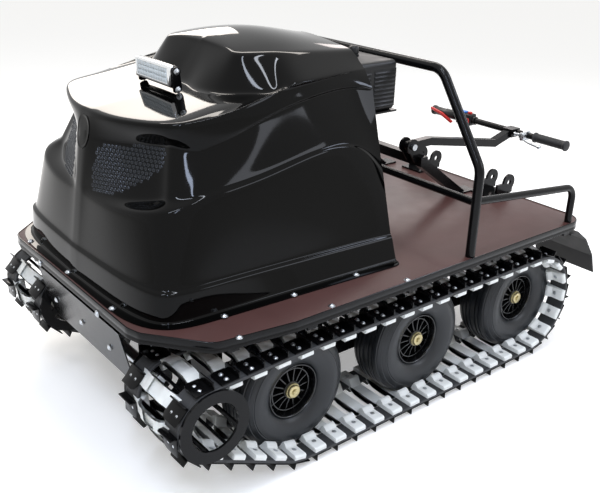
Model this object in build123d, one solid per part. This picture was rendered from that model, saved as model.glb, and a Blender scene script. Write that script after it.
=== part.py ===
from build123d import *
from math import acos, atan2, cos, degrees, pi, sin
import os

# Tracked snow tug, in millimetres. X points forward, Y to the vehicle's left, Z up.
# The origin is on the ground, under the middle of the vehicle's outline.

# Running gear stations
WHEEL_RADIUS = 165.0
WHEEL_WIDTH = 127.0
WHEEL_SPACING = 450.0
FRONT_WHEEL_X = 429.0
WHEEL_COUNT = 3
TRACK_MID_Y = 379.0
DRUM_X = 717.0
DRUM_Z = 243.0

# Track: two rubber belts joined by moulded saddles, with steel lugs outside
BELT_WIDTH = 60.0
BELT_THICK = 8.0
BELT_GAP = 122.0
LUG_HEIGHT = 20.0
LUG_ROOT = 12.0
LUG_TIP = 5.0
LUG_OFFSET = 9.0
LINK_PITCH_AIM = 69.0
SADDLE_LENGTH = 34.0
SADDLE_PLATE = 13.0
SADDLE_HUMP = 23.0
SADDLE_WALL = 7.0
TROUGH_DEPTH = 10.3
DRUM_WRAP_RADIUS = 84.0
WHEEL_WRAP_RADIUS = WHEEL_RADIUS - TROUGH_DEPTH + 0.3

AXLE_Z = LUG_HEIGHT + BELT_THICK + WHEEL_WRAP_RADIUS
SEAT = 0.3

# Drum
RING_RADIUS = 92.0
RING_BORE = 62.0
RING_THICK = 7.0
RING_GAP = 1.5
DRUM_BARS = 8
BAR_WIDTH = 8.0
BAR_DEPTH = 9.0
BAR_RADIUS = 65.5
HUB_RADIUS = 32.0
SHAFT_RADIUS = 15.0
SHAFT_BEARING_Y = 225.0

# Wheels and axles
RIM_RADIUS = 76.0
RIM_WIDTH = 92.0
RIM_WALL = 5.0
RIM_WEB = 6.0
RIM_HUB_RADIUS = 26.0
AXLE_RADIUS = 12.5
CAP_RADIUS = 21.0
CAP_LENGTH = 14.0

# Deck
DECK_TOP_Z = 430.0
DECK_REAR_X = -671.0
DECK_FRONT_X = 814.0
DECK_HALF_WIDTH = 496.0
DECK_TAPER_X = 481.0
DECK_SHOULDER = (691.0, 468.0)
DECK_CORNER = (803.0, 330.0)
DECK_REAR_CORNER_RADIUS = 60.0
BOARD_THICK = 12.0
RIM_BAND_HEIGHT = 45.0
RIM_BAND_WALL = 4.0
RIM_BAND_LIP = 3.0
RIM_FLANGE = 16.0

# Chassis
RAIL_Y = 282.0
RAIL_WIDTH = 40.0
RAIL_HEIGHT = 80.0
RAIL_FRONT_X = 585.0
RAIL_REAR_X = -540.0
CROSS_SIZE = 40.0
CROSS_X = (545.0, 204.0, -246.0, -520.0)
POST_Y = 225.0
SPINE_HEIGHT = 25.0
SPINE_WIDTH = 40.0
SPINE_FRONT_X = 780.0
SPINE_REAR_X = -640.0
ARM_X = (640.0, 429.0, 90.0, -250.0, -590.0)
ARM_WIDTH = 30.0
BEARING_THICK = 12.0
BEARING_LENGTH = 110.0

# Front guard sheet
GUARD_HALF_WIDTH = 236.0
GUARD_THICK = 3.0
GUARD_SEAT = 24.0
GUARD_BOTTOM_Z = 238.0
GUARD_BOTTOM_X = 772.0
GUARD_TOP_X = 806.0

# Roll bar and rails
TUBE_RADIUS = 13.5
RAIL_TUBE_RADIUS = 11.0
ARCH_X = -146.0
ARCH_Y = 478.0
ARCH_BEND_Z = 682.0
ARCH_TOP_Y = 312.0
ARCH_TOP_Z = 922.0
ARCH_RADIUS = 60.0
CROSSBAR_Z = 588.0
SIDE_RAIL_Z = 592.0
SIDE_RAIL_REAR_Z = 543.0
SIDE_RAIL_REAR_X = -606.0
SIDE_RAIL_RADIUS = 40.0

# Hood shell: half outlines at heights, as (keel x, front corner x, y, side corner x, y, rear y)
HOOD_WALL = 4.0
HOOD_REAR_X = 51.0
FLANGE_THICK = 4.0
FLANGE_FRONT_X = 792.0
FLANGE_CORNER = (786.0, 300.0)
FLANGE_SIDE = (719.0, 377.0)
FLANGE_REAR_Y = 409.0
HOOD_SECTIONS = (
    # z, keel x, corner x, corner y, side x, side y, rear y
    (434.0, 786.0, 762.0, 292.0, 714.0, 352.0, 386.0),
    (555.0, 779.0, 746.0, 284.0, 700.0, 337.0, 347.0),
    (566.0, 770.0, 738.0, 278.0, 694.0, 329.0, 339.0),
    (690.0, 764.0, 718.0, 262.0, 676.0, 312.0, 303.0),
    (702.0, 757.0, 708.0, 256.0, 668.0, 303.0, 297.0),
    (880.0, 740.0, 686.0, 226.0, 646.0, 268.0, 240.0),
    (940.0, 733.0, 678.0, 216.0, 638.0, 257.0, 216.0),
)
SHOULDER_FRONT = (741.0, 868.0)
SHOULDER_REAR_Z = 925.0
HUMP_BASE_Z = 860.0
HUMP_EDGE_Z = 1002.0
HUMP_TOP_Z = 1032.0
# Hump half outlines, as (x, y) from the nose round to the rear
HUMP_BASE = ((436.0, 0.0), (430.0, 150.0), (408.0, 205.0), (362.0, 226.0), (51.0, 270.0))
HUMP_EDGE = ((408.0, 0.0), (388.0, 90.0), (338.0, 168.0), (288.0, 196.0), (51.0, 158.0))
HUMP_TOP = ((362.0, 0.0), (350.0, 50.0), (310.0, 90.0), (262.0, 104.0), (51.0, 80.0))
HUMP_REAR_TOP_Z = 975.0
HUMP_FALL_X = 230.0

# Lamp
LAMP_X = 540.0
LAMP_Z = 930.0
LAMP_WIDTH = 110.0
LAMP_HEIGHT = 54.0
LAMP_DEPTH = 46.0
LAMP_BEZEL = 6.0

# Engine
ENGINE_X = (70.0, 360.0)
ENGINE_HALF_WIDTH = 150.0
ENGINE_TOP_Z = 778.0
ENGINE_PLATE = 6.0
ENGINE_PLATE_REAR_X = -120.0
ENGINE_PLATE_HALF_WIDTH = 155.0
COWL_X = (-112.0, 44.0)
COWL_HALF_WIDTH = 148.0
COWL_TOP_Z = 925.0
COWL_WALL = 3.0
COWL_LOUVRES = 7
FUEL_CAP_RADIUS = 18.0
FUEL_CAP_HEIGHT = 30.0

# Tiller and its stand
TILLER_Y = 80.0
TILLER_TUBE = 25.0
PIVOT_X = -288.0
PIVOT_Z = 628.0
PIVOT_BOLT_RADIUS = 6.0
TILLER_LINE = ((-288.0, 628.0), (-376.0, 630.0), (-708.0, 571.0), (-790.0, 595.0))
BAR_X = -811.0
BAR_Z = 596.0
BAR_HALF_LENGTH = 299.0
BAR_TUBE_RADIUS = 11.0
GRIP_RADIUS = 17.0
GRIP_LENGTH = 130.0
EAR_THICK = 6.0
EAR_RADIUS = 24.0
EAR_CLEARANCE = 1.0
STAND_TUBE = 30.0
STAND_X = -325.0
STAND_Z = 578.0
STAND_NEAR_Y = 118.0
STAND_FAR_Y = -300.0
STRUT_Y = (92.0, -285.0)
STRUT_FOOT_X = -545.0
TILLER_DOWN = 8.0
TILLER_UP = 70.0

# Tow clevises and mud flaps
CLEVIS_Y = 165.0
CLEVIS_GAP = 62.0
CLEVIS_PLATE = 8.0
CLEVIS_RADIUS = 28.0
CLEVIS_X = -660.0
CLEVIS_Z = 470.0
CLEVIS_BORE = 9.0
FLAP_THICK = 4.0
FLAP_Y = (262.0, 490.0)
FLAP_SEAT = 40.0
# Flap profile below and behind the rim, as (x, drop below the rim)
FLAP_DROPS = ((-658.0, 0.0), (-711.0, 38.0), (-764.0, 106.0), (-790.0, 174.0))

os.makedirs("parts", exist_ok=True)


def save(name, shape):
    """Write one node's solids to its STEP file."""
    shape.label = name
    export_step(shape, f"parts/{name}.step")


def both_sides(shape):
    """The shape with its mirror image across the vehicle's middle."""
    return Compound(children=[*shape.solids(), *mirror(shape, about=Plane.XZ).solids()])


def block(x, y, z):
    """A box from three (low, high) pairs."""
    size = [high - low for low, high in (x, y, z)]
    centre = [(high + low) / 2 for low, high in (x, y, z)]
    return Pos(*centre) * Box(*size)


def rod(centre, radius, length, axis):
    """A round bar centred on a point, along X, Y or Z."""
    turn = {"X": Rot(0, 90, 0), "Y": Rot(90, 0, 0), "Z": Rot(0, 0, 0)}[axis]
    return Pos(*centre) * turn * Cylinder(radius, length)


def side_plate(points, y_low, y_high):
    """A plate cut to an outline of (x, z) points, between two Y values."""
    face = make_face(Polyline(*[(x, 0, z) for x, z in points], close=True))
    return Pos(0, y_low, 0) * extrude(face, amount=y_high - y_low, dir=(0, 1, 0))


def strip_outline(line, width):
    """A band of constant width about a run of (x, z) points, mitred at its corners."""
    left, right = [], []
    for i, (x, z) in enumerate(line):
        before = line[max(i - 1, 0)]
        after = line[min(i + 1, len(line) - 1)]
        a = atan2(z - before[1], x - before[0]) if i else None
        b = atan2(after[1] - z, after[0] - x) if i < len(line) - 1 else None
        a = b if a is None else a
        b = a if b is None else b
        mean = (a + b) / 2
        reach = width / 2 / cos((b - a) / 2)
        left.append((x - reach * sin(mean), z + reach * cos(mean)))
        right.append((x + reach * sin(mean), z - reach * cos(mean)))
    return left + right[::-1]


def tube_run(points, radius, bend):
    """A round bar swept along straight runs joined by bends."""
    path = FilletPolyline(*points, radius=bend)
    start = Plane(origin=path @ 0, z_dir=path % 0)
    return sweep(start * Circle(radius), path=path)


# Track path: the belts' middle line wraps the rear wheel, the front wheel and the drum
WRAP_OFFSET = BELT_THICK / 2
REAR_WHEEL_X = FRONT_WHEEL_X - (WHEEL_COUNT - 1) * WHEEL_SPACING
WRAPS = (
    # x, z, radius to the belt's middle
    (REAR_WHEEL_X, AXLE_Z, WHEEL_WRAP_RADIUS + WRAP_OFFSET),
    (FRONT_WHEEL_X, AXLE_Z, WHEEL_WRAP_RADIUS + WRAP_OFFSET),
    (DRUM_X, DRUM_Z, DRUM_WRAP_RADIUS + WRAP_OFFSET),
    (FRONT_WHEEL_X, AXLE_Z, WHEEL_WRAP_RADIUS + WRAP_OFFSET),
)


def track_segments():
    """Straight runs and wraps in order, starting under the rear wheel and running forward."""
    count = len(WRAPS)
    normals = []
    for i, (x, z, r) in enumerate(WRAPS):
        nx, nz, nr = WRAPS[(i + 1) % count]
        heading = atan2(nz - z, nx - x)
        span = ((nx - x) ** 2 + (nz - z) ** 2) ** 0.5
        normals.append(heading - acos((r - nr) / span))
    runs = []
    for i, (x, z, r) in enumerate(WRAPS):
        nx, nz, nr = WRAPS[(i + 1) % count]
        a = normals[i]
        start = (x + r * cos(a), z + r * sin(a))
        end = (nx + nr * cos(a), nz + nr * sin(a))
        length = ((end[0] - start[0]) ** 2 + (end[1] - start[1]) ** 2) ** 0.5
        runs.append(("run", length, start, a))
        turn = (normals[(i + 1) % count] - a) % (2 * pi)
        runs.append(("wrap", turn * nr, (nx, nz, nr), a))
    return runs


TRACK_RUNS = track_segments()
TRACK_LENGTH = sum(run[1] for run in TRACK_RUNS)
LINK_COUNT = round(TRACK_LENGTH / LINK_PITCH_AIM)
LINK_PITCH = TRACK_LENGTH / LINK_COUNT
FIRST_SADDLE_X = 116.0
TRACK_PHASE = (FIRST_SADDLE_X - REAR_WHEEL_X) % LINK_PITCH


def on_track(distance, outward=0.0):
    """The point and the outward angle at a distance along the belts' middle line."""
    s = distance % TRACK_LENGTH
    for kind, length, place, a in TRACK_RUNS:
        if s <= length:
            break
        s -= length
    if kind == "run":
        x = place[0] - s * sin(a) + outward * cos(a)
        z = place[1] + s * cos(a) + outward * sin(a)
        return x, z, a
    x, z, r = place
    angle = a + s / r
    return x + (r + outward) * cos(angle), z + (r + outward) * sin(angle), angle


def belt(y_low, y_high):
    """One rubber belt loop with its lugs, extruded across its width."""
    outer, inner = [], []
    for k in range(LINK_COUNT):
        s = TRACK_PHASE + k * LINK_PITCH + LUG_OFFSET
        half = BELT_THICK / 2
        for step, out in (
            (-LUG_ROOT / 2, half),
            (-LUG_TIP / 2, half + LUG_HEIGHT),
            (LUG_TIP / 2, half + LUG_HEIGHT),
            (LUG_ROOT / 2, half),
            (LINK_PITCH / 2, half),
        ):
            outer.append(on_track(s + step, out)[:2])
        x, z, a = on_track(s - LUG_OFFSET, -half)
        for step in (-SADDLE_LENGTH / 2, SADDLE_LENGTH / 2):
            inner.append((x - step * sin(a), z + step * cos(a)))
    loop = make_face(Polyline(*[(x, 0, z) for x, z in outer], close=True))
    hole = make_face(Polyline(*[(x, 0, z) for x, z in inner], close=True))
    return Pos(0, y_low, 0) * extrude(loop - hole, amount=y_high - y_low, dir=(0, 1, 0))


BELT_INNER = BELT_GAP / 2
BELT_OUTER = BELT_INNER + BELT_WIDTH


def saddle_outline():
    """The saddle's cross-section, as (across, inward) from the belts' inner face."""
    half = [
        (BELT_OUTER, SEAT),
        (BELT_OUTER, SADDLE_PLATE),
        (BELT_INNER + 18, SADDLE_PLATE),
        (BELT_INNER + 8, SADDLE_HUMP),
        (BELT_INNER + 4.5, SADDLE_HUMP),
        (44, -TROUGH_DEPTH + 2),
        (30, -TROUGH_DEPTH),
    ]
    under = [
        (34, -TROUGH_DEPTH - SADDLE_WALL),
        (BELT_INNER - 8, -TROUGH_DEPTH - SADDLE_WALL + 6),
        (BELT_INNER - 1, SEAT),
    ]
    top = half + [(-x, y) for x, y in half[::-1]]
    return top + [(-x, y) for x, y in under[::-1]] + under


def saddle_row():
    """All saddles of one track, each square to the belts where it sits."""
    outline = saddle_outline()
    links = []
    for k in range(LINK_COUNT):
        x, z, a = on_track(TRACK_PHASE + k * LINK_PITCH, -BELT_THICK / 2)
        seat = Plane(origin=(x, TRACK_MID_Y, z), x_dir=(0, 1, 0), z_dir=(-sin(a), 0, cos(a)))
        face = make_face(Polyline(*outline, close=True))
        links.append(seat * Pos(0, 0, -SADDLE_LENGTH / 2) * extrude(face, SADDLE_LENGTH))
    return links


wheel_x = [FRONT_WHEEL_X - i * WHEEL_SPACING for i in range(WHEEL_COUNT)]
belt_bands = [
    (TRACK_MID_Y + BELT_INNER, TRACK_MID_Y + BELT_OUTER),
    (TRACK_MID_Y - BELT_OUTER, TRACK_MID_Y - BELT_INNER),
]
left_belts = [belt(*band) for band in belt_bands]
left_saddles = saddle_row()
save("left_track_belts", Compound(children=[s for b in left_belts for s in b.solids()]))
save("left_track_saddles", Compound(children=[s for b in left_saddles for s in b.solids()]))
right = Plane.XZ
save("right_track_belts", Compound(children=[s for b in left_belts for s in mirror(b, about=right).solids()]))
save("right_track_saddles", Compound(children=[s for b in left_saddles for s in mirror(b, about=right).solids()]))

# Tyres: half section as (radius, half width)
TYRE_SECTION = ((RIM_RADIUS + SEAT, 46.0), (118.0, WHEEL_WIDTH / 2), (150.0, 52.0), (WHEEL_RADIUS, 30.0))
section = [(w, r) for r, w in TYRE_SECTION] + [(-w, r) for r, w in TYRE_SECTION[::-1]]
tyre_face = make_face(Polyline(*[(0, w, r) for w, r in section], close=True))
tyre = revolve(tyre_face, axis=Axis.Y)
rim = rod((0, 0, 0), RIM_RADIUS, RIM_WIDTH, "Y") - rod((0, 0, 0), RIM_RADIUS - RIM_WALL, RIM_WIDTH + 2, "Y")
rim += rod((0, 12, 0), RIM_RADIUS - 1, RIM_WEB, "Y")
rim += rod((0, 5, 0), RIM_HUB_RADIUS, 70.0, "Y")
rim -= rod((0, 0, 0), AXLE_RADIUS + SEAT, 200.0, "Y")
tyres = [Pos(x, TRACK_MID_Y, AXLE_Z) * tyre for x in wheel_x]
rims = [Pos(x, TRACK_MID_Y, AXLE_Z) * rim for x in wheel_x]
save("left_tyres", Compound(children=[s for t in tyres for s in t.solids()]))
save("right_tyres", Compound(children=[s for t in tyres for s in mirror(t, about=right).solids()]))
save("left_wheel_rims", Compound(children=[s for t in rims for s in t.solids()]))
save("right_wheel_rims", Compound(children=[s for t in rims for s in mirror(t, about=right).solids()]))

HUB_END_Y = TRACK_MID_Y + 40.0
AXLE_END_Y = HUB_END_Y + 6.0
axles = [rod((x, 0, AXLE_Z), AXLE_RADIUS, 2 * AXLE_END_Y, "Y") for x in wheel_x]
save("wheel_axles", Compound(children=[s for a in axles for s in a.solids()]))
cap = rod((0, CAP_LENGTH / 2, 0), CAP_RADIUS, CAP_LENGTH, "Y") - rod((0, 0, 0), AXLE_RADIUS + SEAT, 2 * (6.0 + SEAT), "Y")
caps = [Pos(x, HUB_END_Y + SEAT, AXLE_Z) * cap for x in wheel_x]
save("hub_caps", both_sides(Compound(children=[s for c in caps for s in c.solids()])))

# Drive drums on one shaft, each a pair of rings joined by bars that sit between the saddles
ring_out_y = TRACK_MID_Y + BELT_OUTER + RING_GAP
ring_in_y = TRACK_MID_Y - BELT_OUTER - RING_GAP - RING_THICK
disc = rod((0, RING_THICK / 2, 0), RING_RADIUS, RING_THICK, "Y")
ring = disc - rod((0, 0, 0), RING_BORE, 4 * RING_THICK, "Y")
drum = Pos(0, ring_out_y, 0) * ring + Pos(0, ring_in_y, 0) * ring
drum_phase = on_track(TRACK_PHASE, 0)[2]
bar_angles = []
for k in range(LINK_COUNT):
    x, z, a = on_track(TRACK_PHASE + k * LINK_PITCH, 0)
    if abs(((x - DRUM_X) ** 2 + (z - DRUM_Z) ** 2) ** 0.5 - DRUM_WRAP_RADIUS - WRAP_OFFSET) < 0.01:
        bar_angles.append(a)
drum_zero = sum(bar_angles) / len(bar_angles) + pi / DRUM_BARS * (1 - len(bar_angles) % 2)
bar_length = ring_out_y - ring_in_y + RING_THICK
for k in range(DRUM_BARS):
    a = degrees(drum_zero) + 360 / DRUM_BARS * (k + 0.5)
    bar = Box(BAR_DEPTH, bar_length, BAR_WIDTH)
    drum += Rot(0, -a, 0) * Pos(BAR_RADIUS, (ring_out_y + ring_in_y + RING_THICK) / 2, 0) * bar
spider = rod((0, ring_in_y + 8, 0), HUB_RADIUS, 16.0, "Y")
for k in range(4):
    spoke = Pos(RING_BORE / 2 + 6, ring_in_y + RING_THICK / 2, 0) * Box(RING_BORE, RING_THICK, 18.0)
    spider += Rot(0, 90 * k + 20, 0) * spoke
drum += spider
drum -= rod((0, ring_in_y, 0), SHAFT_RADIUS + SEAT, 80.0, "Y")
drum = Pos(DRUM_X, 0, DRUM_Z) * drum
save("left_drive_drum", drum)
save("right_drive_drum", mirror(drum, about=right))
save("drive_shaft", rod((DRUM_X, 0, DRUM_Z), SHAFT_RADIUS, 2 * (ring_in_y + 15.0), "Y"))

# Chassis: loop rails, cross tubes, posts and the frame under the deck, all welded
board_low = DECK_TOP_Z - BOARD_THICK
spine_z = (board_low - SPINE_HEIGHT, board_low)
cross_z = (AXLE_Z - CROSS_SIZE / 2, AXLE_Z + CROSS_SIZE / 2)
chassis = Compound()
rail = block(
    (RAIL_REAR_X, RAIL_FRONT_X),
    (RAIL_Y - RAIL_WIDTH / 2, RAIL_Y + RAIL_WIDTH / 2),
    (AXLE_Z - RAIL_HEIGHT / 2, AXLE_Z + RAIL_HEIGHT / 2),
)
spine = block((SPINE_REAR_X, SPINE_FRONT_X), (POST_Y - SPINE_WIDTH / 2, POST_Y + SPINE_WIDTH / 2), spine_z)
bearing_x = (DRUM_X - BEARING_LENGTH / 2, DRUM_X + BEARING_LENGTH / 2)
bearing = side_plate(
    (
        (bearing_x[0], spine_z[0] + 2),
        (bearing_x[1] - 22, spine_z[0] + 2),
        (DRUM_X + 32, DRUM_Z - 30),
        (DRUM_X - 32, DRUM_Z - 30),
    ),
    SHAFT_BEARING_Y - BEARING_THICK / 2,
    SHAFT_BEARING_Y + BEARING_THICK / 2,
)
side_frame = rail + spine + bearing
for x in CROSS_X:
    side_frame += block(
        (x - CROSS_SIZE / 2, x + CROSS_SIZE / 2),
        (POST_Y - CROSS_SIZE / 2, POST_Y + CROSS_SIZE / 2),
        (cross_z[0], spine_z[0] + 1),
    )
frame = side_frame + mirror(side_frame, about=right)
for x in CROSS_X:
    frame += block((x - CROSS_SIZE / 2, x + CROSS_SIZE / 2), (-RAIL_Y, RAIL_Y), cross_z)
RIM_INNER_Y = DECK_HALF_WIDTH - RIM_BAND_WALL
for x in ARM_X:
    taper = (DECK_HALF_WIDTH - DECK_SHOULDER[1]) / (DECK_SHOULDER[0] - DECK_TAPER_X)
    reach = RIM_INNER_Y - SEAT - max(x + ARM_WIDTH / 2 - DECK_TAPER_X, 0) * taper
    frame += block((x - ARM_WIDTH / 2, x + ARM_WIDTH / 2), (-reach, reach), spine_z)
for x in wheel_x:
    frame -= rod((x, 0, AXLE_Z), AXLE_RADIUS + SEAT, 2000.0, "Y")
frame -= rod((DRUM_X, 0, DRUM_Z), SHAFT_RADIUS + SEAT, 2000.0, "Y")
save("chassis_frame", frame)


def deck_outline(inset):
    """The deck's outline, drawn in by an even inset."""
    half = [
        (DECK_REAR_X, DECK_HALF_WIDTH),
        (DECK_TAPER_X, DECK_HALF_WIDTH),
        DECK_SHOULDER,
        DECK_CORNER,
        (DECK_FRONT_X, DECK_CORNER[1] - 40),
    ]
    face = make_face(Polyline(*half, *[(x, -y) for x, y in half[::-1]], close=True))
    rear = face.vertices().group_by(Axis.X)[0]
    face = fillet(rear, DECK_REAR_CORNER_RADIUS)
    shoulders = [v for v in face.vertices() if abs(v.X - DECK_SHOULDER[0]) < 1]
    face = fillet(shoulders, 50)
    return offset(face, -inset) if inset else face


rim_low = DECK_TOP_Z + RIM_BAND_LIP - RIM_BAND_HEIGHT
band = extrude(deck_outline(0) - deck_outline(RIM_BAND_WALL), RIM_BAND_HEIGHT)
band += extrude(deck_outline(0) - deck_outline(RIM_FLANGE), RIM_BAND_WALL)
save("deck_rim", Pos(0, 0, rim_low) * band)
board = extrude(deck_outline(RIM_BAND_WALL + SEAT), BOARD_THICK)
save("deck_board", Pos(0, 0, board_low) * board)

# Front guard
guard_line = (
    (GUARD_TOP_X - GUARD_SEAT, rim_low - SEAT - GUARD_THICK / 2),
    (GUARD_TOP_X, rim_low - SEAT - GUARD_THICK / 2),
    (GUARD_BOTTOM_X, GUARD_BOTTOM_Z),
    (GUARD_BOTTOM_X - 18, GUARD_BOTTOM_Z - 2),
)
guard = side_plate(strip_outline(guard_line, GUARD_THICK), -GUARD_HALF_WIDTH, GUARD_HALF_WIDTH)
save("front_guard", guard)

# Roll bar with its cross tube and side rails
arch = tube_run(
    [
        (ARCH_X, ARCH_Y, DECK_TOP_Z),
        (ARCH_X, ARCH_Y, ARCH_BEND_Z),
        (ARCH_X, ARCH_TOP_Y, ARCH_TOP_Z),
        (ARCH_X, -ARCH_TOP_Y, ARCH_TOP_Z),
        (ARCH_X, -ARCH_Y, ARCH_BEND_Z),
        (ARCH_X, -ARCH_Y, DECK_TOP_Z),
    ],
    TUBE_RADIUS,
    ARCH_RADIUS,
)
arch += rod((ARCH_X, 0, CROSSBAR_Z), RAIL_TUBE_RADIUS, 2 * ARCH_Y, "Y")
for side in (1, -1):
    arch += tube_run(
        [
            (ARCH_X, side * ARCH_Y, SIDE_RAIL_Z),
            (SIDE_RAIL_REAR_X, side * ARCH_Y, SIDE_RAIL_REAR_Z),
            (SIDE_RAIL_REAR_X, side * ARCH_Y, DECK_TOP_Z),
        ],
        RAIL_TUBE_RADIUS,
        SIDE_RAIL_RADIUS,
    )
save("roll_bar", arch)


def mirrored(half):
    """A closed outline from its points on one side of the middle line."""
    return list(half) + [(x, -y) for x, y in half[::-1] if abs(y) > 0.01]


def skin(outlines):
    """A solid ruled between closed outlines, each a height with its points."""
    wires = [Wire(Polyline(*[(x, y, z) for x, y in points], close=True).edges()) for z, points in outlines]
    return Solid.make_loft(wires, ruled=True)


def hood_body(inset):
    """The hood's solid form, drawn in by an even inset."""
    lower = []
    for z, keel, corner_x, corner_y, side_x, side_y, rear_y in HOOD_SECTIONS:
        half = [
            (keel - inset, 0),
            (keel - 3 - inset, 22),
            (corner_x - inset, corner_y - inset),
            (side_x - inset, side_y - inset),
            (HOOD_REAR_X, rear_y - inset),
        ]
        lower.append((z, mirrored(half)))
    body = skin(lower)
    front_x, front_z = SHOULDER_FRONT
    roof = side_plate(
        (
            (front_x + 100, front_z - inset - 100 * (SHOULDER_REAR_Z - front_z) / (front_x - HOOD_REAR_X)),
            (HOOD_REAR_X - 1, SHOULDER_REAR_Z - inset),
            (HOOD_REAR_X - 1, 1200),
            (front_x + 100, 1200),
        ),
        -500,
        500,
    )
    body -= roof
    hump = skin(
        [
            (z - (inset if z > HUMP_BASE_Z else 0), mirrored([(x - (inset if i < 4 else 0), max(y - inset, 0)) for i, (x, y) in enumerate(points)]))
            for z, points in ((HUMP_BASE_Z, HUMP_BASE), (HUMP_EDGE_Z, HUMP_EDGE), (HUMP_TOP_Z, HUMP_TOP))
        ]
    )
    fall = side_plate(
        ((HUMP_FALL_X, HUMP_TOP_Z - inset), (HOOD_REAR_X - 1, HUMP_REAR_TOP_Z - inset), (HOOD_REAR_X - 1, 1200), (HUMP_FALL_X, 1200)),
        -500,
        500,
    )
    hump -= fall
    return body + hump


flange_half = [(FLANGE_FRONT_X, 0), FLANGE_CORNER, FLANGE_SIDE, (HOOD_REAR_X, FLANGE_REAR_Y)]
flange_face = make_face(Polyline(*mirrored(flange_half), close=True))
flange = Pos(0, 0, DECK_TOP_Z) * extrude(flange_face, FLANGE_THICK)
outer = hood_body(0)
inner = hood_body(HOOD_WALL)
inner += Pos(-20, 0, 0) * hood_body(HOOD_WALL + 1)
inner_foot = extrude(make_face(Polyline(*mirrored([(770, 0), (752, 284), (704, 344), (0, 384)]), close=True)), 30)
hood = (outer + flange) - inner - Pos(0, 0, DECK_TOP_Z - 10) * inner_foot
save("hood_shell", hood)

# Lamp on the bonnet
bonnet_z = SHOULDER_FRONT[1] + (SHOULDER_REAR_Z - SHOULDER_FRONT[1]) * (SHOULDER_FRONT[0] - LAMP_X) / (SHOULDER_FRONT[0] - HOOD_REAR_X)
housing = block((LAMP_X - LAMP_DEPTH, LAMP_X), (-LAMP_WIDTH / 2, LAMP_WIDTH / 2), (LAMP_Z - LAMP_HEIGHT / 2, LAMP_Z + LAMP_HEIGHT / 2))
save("lamp_housing", housing)
lens = block((LAMP_X, LAMP_X + 8), (-LAMP_WIDTH / 2 + LAMP_BEZEL, LAMP_WIDTH / 2 - LAMP_BEZEL), (LAMP_Z - LAMP_HEIGHT / 2 + LAMP_BEZEL, LAMP_Z + LAMP_HEIGHT / 2 - LAMP_BEZEL))
save("lamp_lens", lens)
bracket_y = LAMP_WIDTH / 2
bonnet_rise = (SHOULDER_REAR_Z - SHOULDER_FRONT[1]) / (SHOULDER_FRONT[0] - HOOD_REAR_X)
foot_x = (LAMP_X - 60, LAMP_X - 30)
foot_z = [bonnet_z + (LAMP_X - x) * bonnet_rise + SEAT for x in foot_x]
bracket = side_plate(
    (*zip(foot_x, foot_z), (LAMP_X - 12, LAMP_Z + 12), (LAMP_X - 34, LAMP_Z + 16)),
    bracket_y,
    bracket_y + 4,
)
save("lamp_bracket", bracket)

# Engine: a plain block, its top plate and louvred cowl
save("engine_block", block(ENGINE_X, (-ENGINE_HALF_WIDTH, ENGINE_HALF_WIDTH), (DECK_TOP_Z, ENGINE_TOP_Z)))
plate_z = (ENGINE_TOP_Z, ENGINE_TOP_Z + ENGINE_PLATE)
save("engine_top_plate", block((ENGINE_PLATE_REAR_X, ENGINE_X[1]), (-ENGINE_PLATE_HALF_WIDTH, ENGINE_PLATE_HALF_WIDTH), plate_z))
cowl_z = (plate_z[1], COWL_TOP_Z)
cowl = block(COWL_X, (-COWL_HALF_WIDTH, COWL_HALF_WIDTH), cowl_z)
cowl -= block((COWL_X[0] + COWL_WALL, COWL_X[1] - COWL_WALL), (-COWL_HALF_WIDTH + COWL_WALL, COWL_HALF_WIDTH - COWL_WALL), (cowl_z[0] - 1, cowl_z[1] - COWL_WALL))
for i in range(COWL_LOUVRES):
    z = cowl_z[0] + 18 + i * 15
    cowl -= block((COWL_X[0] + 25, COWL_X[0] + 75), (-COWL_HALF_WIDTH - 1, COWL_HALF_WIDTH + 1), (z, z + 6))
save("engine_cowl", cowl)
save("fuel_cap", rod((COWL_X[0] + 60, 60, COWL_TOP_Z + FUEL_CAP_HEIGHT / 2), FUEL_CAP_RADIUS, FUEL_CAP_HEIGHT, "Z"))

# Tiller stand: cross tube, two struts and the ears that hold the tiller's bolt
half_stand = STAND_TUBE / 2
stand = block((STAND_X - half_stand, STAND_X + half_stand), (STAND_FAR_Y, STAND_NEAR_Y), (STAND_Z - half_stand, STAND_Z + half_stand))
for y in STRUT_Y:
    strut = strip_outline(((STAND_X - 5, STAND_Z - 5), (STRUT_FOOT_X, DECK_TOP_Z - 10)), STAND_TUBE)
    stand += side_plate(strut, y - half_stand, y + half_stand)
    stand += block((STRUT_FOOT_X - 45, STRUT_FOOT_X + 35), (y - 25, y + 25), (DECK_TOP_Z - 5, DECK_TOP_Z + 5))
ear_y = TILLER_TUBE / 2 + EAR_CLEARANCE
for side in (1, -1):
    low = TILLER_Y + side * ear_y if side > 0 else TILLER_Y - ear_y - EAR_THICK
    ear = side_plate(
        (
            (STAND_X - 22, STAND_Z + half_stand - 2),
            (PIVOT_X - EAR_RADIUS, PIVOT_Z),
            (PIVOT_X + EAR_RADIUS, PIVOT_Z),
            (STAND_X + 22, STAND_Z - 6),
            (STAND_X, STAND_Z - 6),
        ),
        low,
        low + EAR_THICK,
    )
    ear += rod((PIVOT_X, low + EAR_THICK / 2, PIVOT_Z), EAR_RADIUS, EAR_THICK, "Y")
    stand += ear
stand -= rod((PIVOT_X, TILLER_Y, PIVOT_Z), PIVOT_BOLT_RADIUS + SEAT, 100.0, "Y")
stand -= block((-900, 200), (-500, 500), (300, DECK_TOP_Z))
save("tiller_stand", stand)
bolt_reach = ear_y + EAR_THICK + SEAT
bolt = rod((PIVOT_X, TILLER_Y, PIVOT_Z), PIVOT_BOLT_RADIUS, 2 * bolt_reach, "Y")
bolt += rod((PIVOT_X, TILLER_Y + bolt_reach + 4, PIVOT_Z), 10.0, 8.0, "Y")
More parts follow.
